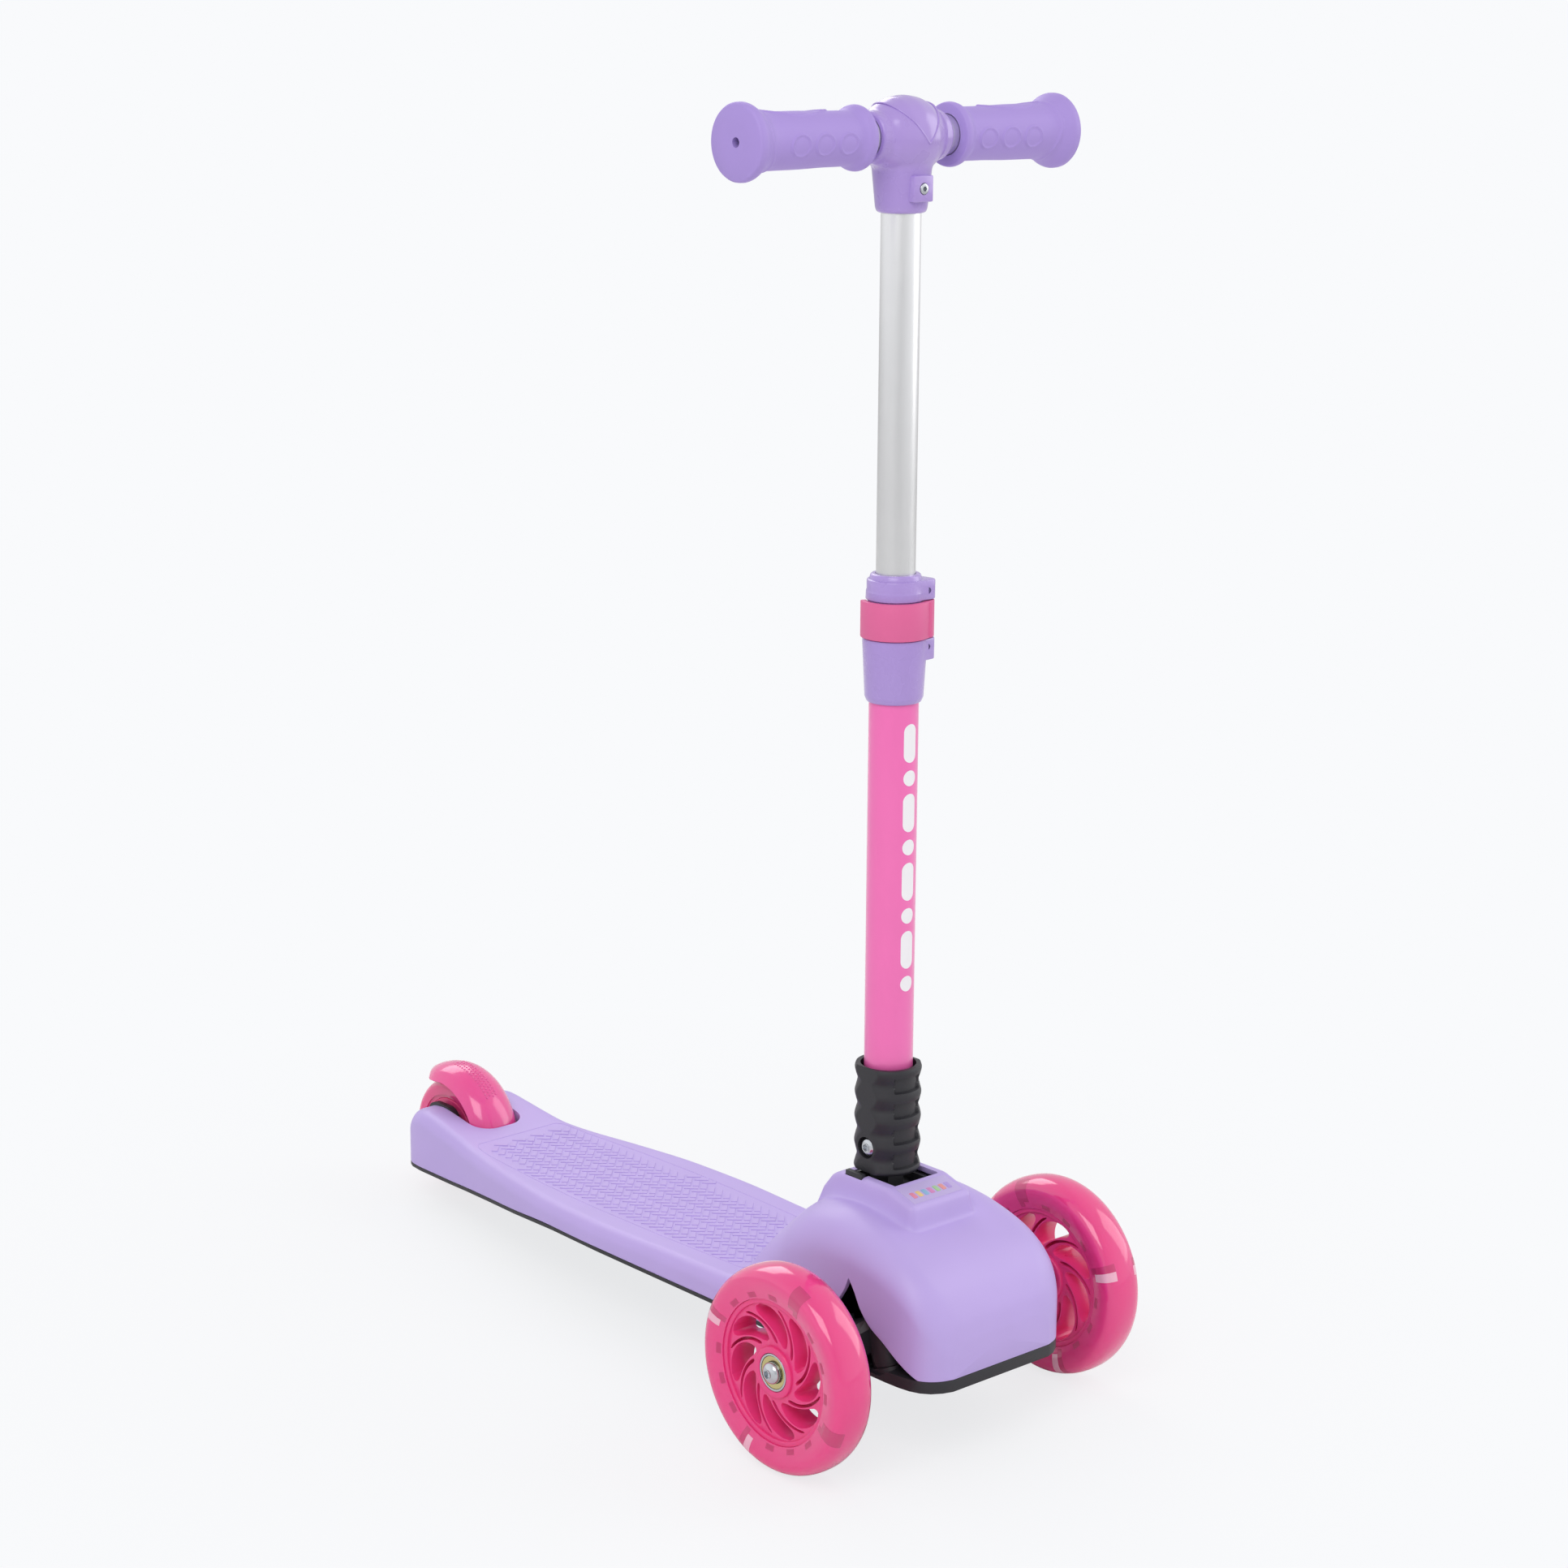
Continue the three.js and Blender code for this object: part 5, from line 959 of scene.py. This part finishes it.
def fender_strip():
    steps, tip = 72, 0.2
    rings = []
    for i in range(steps + 1):
        angle = math.radians(FENDER_FROM + (FENDER_TO - FENDER_FROM) * i / steps)
        left = 1 - i / steps
        end = math.sqrt(max(1 - (1 - left / tip) ** 2 * 0.96, 0)) if left < tip else 1
        rings.append(fender_row(angle, end, 0) + fender_row(angle, end, 1)[::-1])
    verts, faces = skin(rings)
    count = len(rings[0])
    for first, flip in ((0, 1), (len(verts) - count, -1)):
        for j in range(count // 2 - 1):
            quad = (first + j, first + j + 1, first + count - 2 - j, first + count - 1 - j)
            faces.append(quad[::flip])
    return cleaned(mesh_of(verts, faces), 1e-4)


def fender_dots():
    """Four staggered rows of small raised dots along the top of the strip."""
    dots = []
    for i in range(16):
        for k in (-1.5, -0.5, 0.5, 1.5):
            stagger = 1.5 if k in (-0.5, 1.5) else 0
            angle = -46 + 3.1 * i + stagger
            x = 2.6 * k
            dot = turned([(0, -0.3), (0.8, -0.3), (0.66, 0.24), (0.35, 0.44), (0, 0.5)], 10)
            dot.transform(move(x, WHEELBASE, REAR_AXLE_Z) @ turned_about("X", -angle)
                          @ move(z=FENDER_R - fender_fall(x / FENDER_HALF)))
            dots.append(dot)
    return dots


def fender():
    pivot = move(0, BRAKE_Y, BRAKE_Z) @ X_AXIS
    barrel = ring(2.4, 4.6, -BRAKE_HALF, BRAKE_HALF, 0.4, 48, pivot)
    web = block((-BRAKE_HALF, 395.4, 54.6), (BRAKE_HALF, 402, 61.2), 0.5)
    bm = merged(fender_strip(), barrel, web, *fender_dots())
    piece("brake_fender", bm, "brake", "fender_pink", BODY, "brake_fender", "clear_pink", 50)
    steel("brake_pin", ring(0, 2, -22, 22, 0.3, 32), "frame", BODY @ pivot)


# Ribbed fold socket: round bulges with narrower waists, and a wide rim
SOCKET = [
    (144, 18.6), (145.2, 19.1), (148.5, 18.4), (152.2, 17.5), (156.5, 18.4), (160.2, 19.1), (164, 18.4),
    (167.8, 17.5), (171.5, 18.4), (175.4, 19.1), (179, 18.4), (182.4, 17.5), (186, 18.4), (189.8, 19.1),
    (193.5, 18.3), (197.4, 17.5), (201, 18.5), (204.4, 19.2), (206.6, 18.6),
]
SOCKET_LOW, SOCKET_TOP, MOUTH_Z, SOCKET_FLOOR, SOCKET_SIDES = 144, 206.6, 198.6, 173.5, 144


def socket_row(z):
    """Outline at a height, with a flat on each side and recessed panels in front."""
    panel_half, panel_r, pitch, first = 9.5, 16.7, 15.0, 144.7
    radius = value_at(SOCKET, z)
    phase = (z - first) % pitch
    in_panel = 3.2 < phase < 11.8 and 147 < z < 203
    flat = 17.2 - 0.01 * abs(z - 173)
    row = []
    for x, y in circle(1, SOCKET_SIDES):
        sunk = in_panel and y < 0 and abs(x * radius) < panel_half
        here = min(radius, panel_r) if sunk else radius
        row.append((max(-flat, min(flat, here * x)), here * y, z))
    return row


def fold_socket():
    grid = [socket_row(z) for z in np.linspace(SOCKET_LOW, SOCKET_TOP, 110)]
    for radius, levels in ((16, (SOCKET_TOP, MOUTH_Z)), (LOWER_R + FIT, (MOUTH_Z, SOCKET_FLOOR))):
        grid += [[(x, y, z) for x, y in circle(radius, SOCKET_SIDES)] for z in levels]
    pivot = move(z=FOLD_Z) @ X_AXIS
    tongue, swing_r, behind = 6.35, 12.95, 40
    swing = rod(swing_r, -tongue, tongue, 64, pivot)
    under = block((-tongue, -swing_r, 130), (tongue, behind, FOLD_Z))
    back = block((-tongue, 0, 150), (tongue, behind, FOLD_Z + 7.95))
    bolt_way = turned([(0, -30), (6.4, -30), (6.4, -13.9), (4.15, -13.9), (4.15, 12), (0, 12)], 48, pivot)
    nut_way = prism([hexagon(6.9)], 12.2, 30, 0, pivot)
    bm = combined(lofted(grid), cut=[swing, under, back, bolt_way, nut_way], then=[eased(0.35, 50)])
    piece("fold_socket", bm, "stem", "black_plastic", STEM, "fold_socket", sharp=40)
    spot = STEM @ move(-14.1, 0, FOLD_Z) @ turned_about("Y", -90)
    steel("fold_bolt", button_bolt(4, 5.6, 3.1, 30, 2.3, 2.2), "fold_latch", spot)
    steel("fold_nut", hex_nut(6.3, 4.2, 12.6, 16.6), "stem", STEM @ pivot)


# Height clamp: a cup and a cap with an ear each, and the lever between them
EAR_X, EAR_R, BARREL_R = 18.2, 3.8, 3.5
LEVER_LOW, LEVER_HIGH, LEVER_GAP, LEVER_IN, LEVER_OUT = 454.5, 475.3, 0.4, 16.1, 19.4
WINDOW_LOW, WINDOW_HIGH = LEVER_LOW - LEVER_GAP, LEVER_HIGH + LEVER_GAP


def drop_outline(radius):
    """A circle drawn out to the ear."""
    lean = math.acos((radius - EAR_R) / EAR_X)
    ear = [(EAR_X + x, y) for x, y in arc(EAR_R, -lean, lean, 16)]
    return ear + arc(radius, lean, 2 * PI - lean, 40)[1:-1]


def clamp():
    waist = 15.6
    cup = turned(rounded([
        (0, 418), (15.3, 418, 1.2), (16.5, 421, 2), (18.2, WINDOW_LOW, 0.8), (waist, WINDOW_LOW, 0.3),
        (waist, WINDOW_HIGH, 0.3), (16.6, WINDOW_HIGH, 0.6), (16.4, 480, 1), (13.9, 490, 1.4), (0, 490),
    ], 0.5, closed=False), 96)
    low = prism([drop_outline(17.2)], 442, WINDOW_LOW, 0.6)
    high = prism([drop_outline(16.0)], WINDOW_HIGH, 487, 0.9)
    ear = move(EAR_X)
    marks = []
    for z in (449.5, 481):
        dimple = rod(1.9, 0, 3, 24)
        dimple.transform(move(17.6, -2.2, z) @ turned_about("X", 90))
        marks.append(dimple)
    cuts = [rod(LOWER_R + FIT, 400, 474.3), rod(MAST_R + FIT, 430, 500), rod(2, 444, 484, 32, ear),
            rod(EAR_R + 0.05, WINDOW_LOW, WINDOW_HIGH, 48, ear), merged(*marks)]
    bm = combined(cup, [low, high], cuts)
    piece("clamp_collar", bm, "stem", "purple_joint", CLAMP, "clamp_collar", "purple_plastic")
    steel("lever_pin", ring(0, 1.7, 444.3, 483.7, 0.2, 32, ear), "stem", CLAMP)


def clamp_lever():
    start, stop, heel = math.radians(-16), math.radians(-176), 17.2
    tangent = -math.acos((LEVER_OUT - BARREL_R) / EAR_X)
    outside = [(EAR_X + BARREL_R * math.cos(tangent), BARREL_R * math.sin(tangent))]
    outside += arc(LEVER_OUT, tangent, stop, 60)
    inside = arc(LEVER_IN, stop, start, 60) + [(heel, 0)]
    band = prism([outside + inside], LEVER_LOW, LEVER_HIGH, 0.6)
    barrel = ring(0, BARREL_R, LEVER_LOW, LEVER_HIGH, 0.5, 48, move(EAR_X))
    web = block((heel, -6.5, LEVER_LOW + LEVER_GAP), (20.2, 0, LEVER_HIGH - LEVER_GAP), 0.3)
    cuts = [rod(LEVER_IN - 0.15, 440, 490), rod(2.05, 440, 490, 32, move(EAR_X))]
    piece("clamp_lever", combined(band, [web, barrel], cuts), "lever", "lever_pink", CLAMP, "clamp_lever")


# Tubes
MAST_TOP, BAR_HALF = 710.5, 113.2


def tubes():
    lower = ring(11.9, LOWER_R, SOCKET_FLOOR + FIT, 474, 0.4)
    piece("lower_tube", lower, "stem", "pink_paint", STEM, "lower_tube")
    upper = ring(MAST_R - 1.5, MAST_R, 340, MAST_TOP, 0.3)
    piece("upper_tube", upper, "mast", "silver_tube", STEM, "upper_tube")
    foot, plug = 11.5, 9.2
    bush = turned(rounded([(0, 336), (foot, 336), (foot, 339.7), (plug, 339.7), (plug, 352), (0, 352)],
                          0.4, closed=False), 64)
    piece("mast_bush", bush, "mast", "black_plastic", STEM, "mast_bush")
    bar = ring(MAST_R - 1.2, MAST_R, -BAR_HALF, BAR_HALF, 0.3)
    piece("handlebar_tube", bar, "mast", "silver_tube", BAR_MIDDLE @ X_AXIS, "handlebar_tube")


def pill(radius, low, high, half):
    """Rounded mark printed round the front of a tube."""
    lift, sink = 0.06, 0.2
    ends = min(half, (high - low) / 2)
    grid = []
    for v in np.linspace(0, PI, 27):
        z = low + (1 - math.cos(v)) / 2 * (high - low)
        near = min(z - low, high - z)
        width = max(half - ends + ends * round_end(near / ends), 0.05)
        row = []
        for depth, order in ((radius + lift, 1), (radius - sink, -1)):
            for u in np.linspace(-1, 1, 9)[::order]:
                turn = u * width / radius
                row.append((depth * math.sin(turn), -depth * math.cos(turn), z))
        grid.append(row)
    return lofted(grid)


def tube_marks():
    """A plain row of dots and dashes down the front of the painted tube."""
    half, gap, z = 4.5, 4.4, 252
    marks = []
    for length in (9, 22) * 4:
        marks.append(pill(LOWER_R, z, z + length, half))
        z += length + gap
    piece("tube_dashes", merged(*marks), "stem", "white_print", STEM, slot="pink_paint")


def pad_marks():
    """The pale pad set in the slope before the stem, with a row of small plain coloured bars."""
    slope = Matrix.Rotation(math.atan2(PLATFORM_Z - PAD_FRONT_Z, PAD_BACK_Y - PAD_FRONT_Y), 4, "X")
    half, deep, pad_y, pad_z = 19, 8, -1.5, 139.27
    plate = prism([rectangle(-half, -deep, half, deep, 2.2)], -0.6, 0.16, 0.12)
    spot = BODY @ move(0, pad_y, pad_z) @ slope
    piece("hood_pad", plate, "frame", "purple_pad", spot, slot="purple_plastic")
    pitch, bar_y, bar_z = 4.5, -2.5, 138.98
    colours = ["#e58aa8", "#e9c98a", "#8fb9dd", "#d98bc4", "#a9cf9d", "#e79a9a", "#b59be0"]
    for k, colour in enumerate(colours):
        name = f"pad_bar_{k + 1}"
        finish(name, colour, 0.45, 0.03)
        bar = prism([rectangle(-1.5, -2.6, 1.5, 2.6, 0.9)], -0.2, 0.36, 0.08)
        spot = BODY @ move(pitch * (k - 3), bar_y, bar_z) @ slope
        piece(name, bar, "frame", name, spot, slot="purple_plastic")


# Tee between the mast and the handlebar
BALL_R, BALL_END, TEE_LOW, SCREW_Z, PAD_HALF = 22.0, 26, 686.5, 700, 7


def tee_body(across):
    """A ball on the bar blended into the neck on the mast."""
    side = [(13.8, BALL_END, 0.8), (14.3, 20, 1), (17.5, 15.5, 3), (20.8, 8, 6)]
    profile = [(0, -BALL_END)] + [(r, -x, size) for r, x, size in side] + [(BALL_R, 0, 12)]
    profile += side[::-1] + [(0, BALL_END)]
    ball = turned(rounded(profile, 0.5, 6, closed=False), 96, across)
    neck = [(0, TEE_LOW), (13.2, TEE_LOW, 0.8), (14.2, 689, 1.5), (16.4, 711, 6), (19.6, 722, 6),
            (18, 735, 6), (0, 740)]
    blend = {"type": "REMESH", "mode": "VOXEL", "voxel_size": 0.62}
    smooth = {"type": "CORRECTIVE_SMOOTH", "factor": 0.6, "iterations": 14, "use_only_smooth": True}
    return combined(ball, [turned(rounded(neck, 0.5, 5, closed=False), 96)], then=[blend, smooth])


def tee_crest(side):
    """A raised leaf line over the ball."""
    reach = 15.5
    path = []
    for s in np.linspace(0, 1, 44):
        turn = math.radians(-8 + 178 * s)
        x = side * reach * math.sin(PI * s) ** 0.9
        radius = float(np.interp(abs(x), [0, 8, reach, 20], [BALL_R, 20.9, 17.9, 14.8])) - 0.1
        path.append((x, -radius * math.cos(turn), BAR_Z + radius * math.sin(turn)))
    return tube(path, 0.55, 8)


def tee():
    across = move(z=BAR_Z) @ X_AXIS
    front = move(z=SCREW_Z) @ Y_AXIS
    pad = block((-PAD_HALF, -17.6, SCREW_Z - PAD_HALF), (PAD_HALF, -4, SCREW_Z + PAD_HALF), 0.8)
    bore = MAST_R + FIT
    cuts = [rod(bore, 680, MAST_TOP + FIT), rod(bore, -40, 40, 96, across), rod(3.2, -30, -11, 48, front)]
    bm = combined(tee_body(across), [pad], cuts)
    bm = merged(bm, tee_crest(-1), tee_crest(1))
    piece("tee_joint", bm, "mast", "purple_joint", STEM, "tee_joint", "purple_plastic", 40)
    screw = combined(ring(0, 2.9, -18.1, -11.3, 0.4, 32), cut=[prism([hexagon(1.5)], -20, -15.6)])
    steel("tee_screw", screw, "mast", STEM @ front)


# Grips
GRIP_FROM, GRIP_BODY_R = 32.5, 15.3
GRIP = [(GRIP_FROM, 16.5), (33.2, 17.1), (35, 17.5), (37.2, 17.1), (39.6, 15.6), (42.5, 14.6), (56, 14.6),
        (78, 15.1), (98, 15.2), (102, 15.5), (106, 16.7), (109.5, 18.6), (112.5, 20.2), (114.2, 20.6),
        (116.4, 20.5), (117.5, 19.9)]
OVAL_WIDE, OVAL_HIGH, OVAL_DOWN, RIDGE = 6.3, 5.6, 2.1, 0.85
RELIEF_FROM, RELIEF_TO, GRIP_END, GRIP_SIDES = 44, 113, 117.9, 208


def ease(value, low, high):
    t = min(max((value - low) / (high - low), 0), 1)
    return t * t * (3 - 2 * t)


def ridge(offset, width):
    return math.exp(-(offset / width) ** 2)


def grip_relief(x, turn):
    """Height of the raised ovals, the thumb line and the wavy line of a grip. Turn 0 faces front."""
    lift = 0
    arc_length = GRIP_BODY_R * turn
    for middle in (51.5, 68.5, 85.5):
        out = math.hypot((x - middle) / OVAL_WIDE, (arc_length + OVAL_DOWN) / OVAL_HIGH)
        lift += RIDGE * ridge(out - 1, 0.11) + 0.2 * (1 - ease(out, 0.8, 1.0))
    bow = 8 - 9 * ((x - 79) / 24.5) ** 2
    if bow > -1:
        lift += RIDGE * ridge(bow - abs(arc_length - GRIP_BODY_R * PI / 2), 0.6)
    wave = 104.5 + 2.2 * math.sin(2 * turn + 0.6)
    return lift + 0.5 * ridge(x - wave, 0.8)


def grip_ring(x, radii):
    turns = [2 * PI * k / GRIP_SIDES for k in range(GRIP_SIDES)]
    return [(x, -r * math.cos(turn), r * math.sin(turn)) for r, turn in zip(radii, turns)]


def grip(name, side):
    places = [GRIP_FROM, 32.9, 33.4] + list(np.arange(34, 116.6, 0.5)) + [117.1, 117.5]
    turns = [2 * PI * k / GRIP_SIDES for k in range(GRIP_SIDES)]
    signed = [turn if turn < PI else turn - 2 * PI for turn in turns]
    grid = []
    for x in places:
        raised = RELIEF_FROM < x < RELIEF_TO
        radii = [value_at(GRIP, x) + (grip_relief(x, turn) if raised else 0) for turn in signed]
        grid.append(grip_ring(side * x, radii))
    hole, bore = 2.7, MAST_R + FIT
    for radius, x in ((19.1, GRIP_END), (9, GRIP_END), (3.1, GRIP_END), (hole, GRIP_END), (hole, 113.6),
                      (bore, 113.5), (bore, GRIP_FROM)):
        grid.append(grip_ring(side * x, [radius] * GRIP_SIDES))
    bm = mesh_of(*skin(grid, wrap_rows=True))
    bmesh.ops.recalc_face_normals(bm, faces=bm.faces)
    piece(name, bm, "mast", "purple_rubber", BAR_MIDDLE, name, sharp=50)


# Steering and the parts kept in the model's own shape
KINGPIN = (45, -20, 46)
KINGPIN_LEAN = -20


def steering_spring(name, side):
    wire, radius, low, height, coils = 0.65, 6.6, 34.3, 5.5, 3
    x, y, z = KINGPIN
    place = BODY @ move(side * x, y, z) @ turned_about("X", KINGPIN_LEAN)
    turns = np.linspace(0, 2 * PI * coils, 130)
    path = [(radius * math.cos(a), radius * math.sin(a), low + height * a / turns[-1]) for a in turns]
    steel(f"{name}_steering_spring", tube(path, wire, 10), "frame", place)


def small_parts():
    for side, name in ((-1, "left"), (1, "right")):
        carried(f"{name}_knuckle", f"{name}_knuckle_body", "black_plastic", 0.5)
        carried(f"{name}_tie_pin", f"{name}_knuckle_body", "zinc_steel", 0.2)
        carried(f"{name}_kingpin", "frame", "zinc_steel", 0.3)
        steering_spring(name, side)
    carried("tie_rod", "tie_rod_body", "black_plastic", 0.5)
    carried("base_tray", "frame", "black_plastic", 0.35, 40)
    carried("stem_bracket", "frame", "black_plastic")
    for k in range(1, 7):
        carried(f"tray_screw_{k}", "frame", "zinc_steel", 0.25)


# Stage, light and camera, in metres
PALE = srgb("#f9fafc")
FLOOR_R, FLOOR_DROP = 9, 0.0005
FADE_FROM, FADE_TO, FADE_LOW = 0.25, 0.55, 0.8
LIGHT_LEVEL, SHEEN_LOW, SHEEN_HIGH, SHEEN_WAY = 0.62, 0.7, 1.3, (0.748, -0.664, 0)


def floor_look():
    """Shows the background's colour to the camera, with the shadow kept near the object."""
    graph = Graph("floor")
    seen = graph.add("ShaderNodeLightPath", output="Is Camera Ray")
    glow = graph.add("ShaderNodeEmission", {"Color": PALE, "Strength": 1.0})
    white = graph.add("ShaderNodeBsdfDiffuse", {"Color": (0.9, 0.9, 0.9, 1)})
    distance = graph.add("ShaderNodeVectorMath", {0: graph.object_coords()}, "Value", operation="LENGTH")
    far = graph.add("ShaderNodeMapRange", {"Value": distance, "From Min": FADE_FROM, "From Max": FADE_TO,
                                           "To Min": FADE_LOW, "To Max": 1.0})
    shown = graph.add("ShaderNodeMixShader", {0: far, 1: white, 2: glow})
    return graph.surface(graph.add("ShaderNodeMixShader", {0: seen, 1: white, 2: shown}))


def world():
    """Pale to the camera, softer as light, and brighter to the sides in glossy reflections."""
    studio = bpy.data.worlds.new("studio")
    bpy.context.scene.world = studio
    studio.use_nodes = True
    tree = studio.node_tree
    tree.nodes.clear()
    path = make_node(tree, "ShaderNodeLightPath")
    straight = make_node(tree, "ShaderNodeMath", {0: path["Is Camera Ray"], 1: path["Is Transmission Ray"]},
                         operation="MAXIMUM")[0]
    way = make_node(tree, "ShaderNodeTexCoord")["Generated"]
    along = make_node(tree, "ShaderNodeVectorMath", {0: way, 1: SHEEN_WAY}, operation="DOT_PRODUCT")["Value"]
    size = make_node(tree, "ShaderNodeMath", {0: along}, operation="ABSOLUTE")[0]
    level = make_node(tree, "ShaderNodeMapRange", {
        "Value": size, "To Min": SHEEN_LOW, "To Max": SHEEN_HIGH})[0]
    light = make_node(tree, "ShaderNodeBackground", {"Color": (1, 1, 1, 1), "Strength": LIGHT_LEVEL})[0]
    seen = make_node(tree, "ShaderNodeBackground", {"Color": PALE})[0]
    sheen = make_node(tree, "ShaderNodeBackground", {"Color": PALE, "Strength": level})[0]
    plain = make_node(tree, "ShaderNodeMixShader", {0: straight, 1: light, 2: seen})[0]
    final = make_node(tree, "ShaderNodeMixShader", {0: path["Is Glossy Ray"], 1: plain, 2: sheen})[0]
    make_node(tree, "ShaderNodeOutputWorld", {"Surface": final})


def stage():
    bm = bmesh.new()
    bmesh.ops.create_circle(bm, cap_ends=True, radius=FLOOR_R, segments=96)
    floor = helper(bm, "floor")
    floor.location.z = -FLOOR_DROP
    floor.data.materials.append(floor_look())
    world()


def lamp(name, place, target, size, power):
    data = bpy.data.lights.new(name, "AREA")
    data.shape = "RECTANGLE"
    data.size, data.size_y = size
    data.energy = power
    obj = new_object(name, data)
    obj.location = place
    obj.rotation_euler = (Vector(target) - Vector(place)).to_track_quat("-Z", "Y").to_euler()


FOCAL_PIXELS, PHOTO_PIXELS, SENSOR = 4161.95, 1932, 36
EYE, EYE_TURN = (-1.26938, -1.48353, 0.86044), (74.87894, -1.67643, -41.60123)


def camera():
    """Fitted to the photograph: place, direction in degrees and lens."""
    data = bpy.data.cameras.new("camera")
    data.sensor_width = SENSOR
    data.lens = FOCAL_PIXELS / PHOTO_PIXELS * SENSOR
    data.clip_start, data.clip_end = 0.05, 50
    obj = new_object("camera", data)
    obj.location = EYE
    obj.rotation_euler = [math.radians(a) for a in EYE_TURN]
    bpy.context.scene.camera = obj


def build():
    top_shell()
    tread()
    pad_marks()
    for side, name in ((-1, "left"), (1, "right")):
        front_wheel(name, side)
    rear_wheel()
    fender()
    fold_socket()
    clamp()
    clamp_lever()
    tubes()
    tube_marks()
    tee()
    grip("left_grip", -1)
    grip("right_grip", 1)
    small_parts()


build()
stage()
lamp("key", (-1.6, -1.2, 2.2), (0, 0, 0.2), (1.6, 1.6), 26)
lamp("fill", (1.9, -1.1, 1.3), (0, 0, 0.2), (1.2, 1.8), 12)
lamp("rim", (0.6, 1.8, 1.6), (0, 0, 0.3), (1.6, 1.0), 12)
camera()
bpy.context.scene.view_settings.view_transform = "Standard"
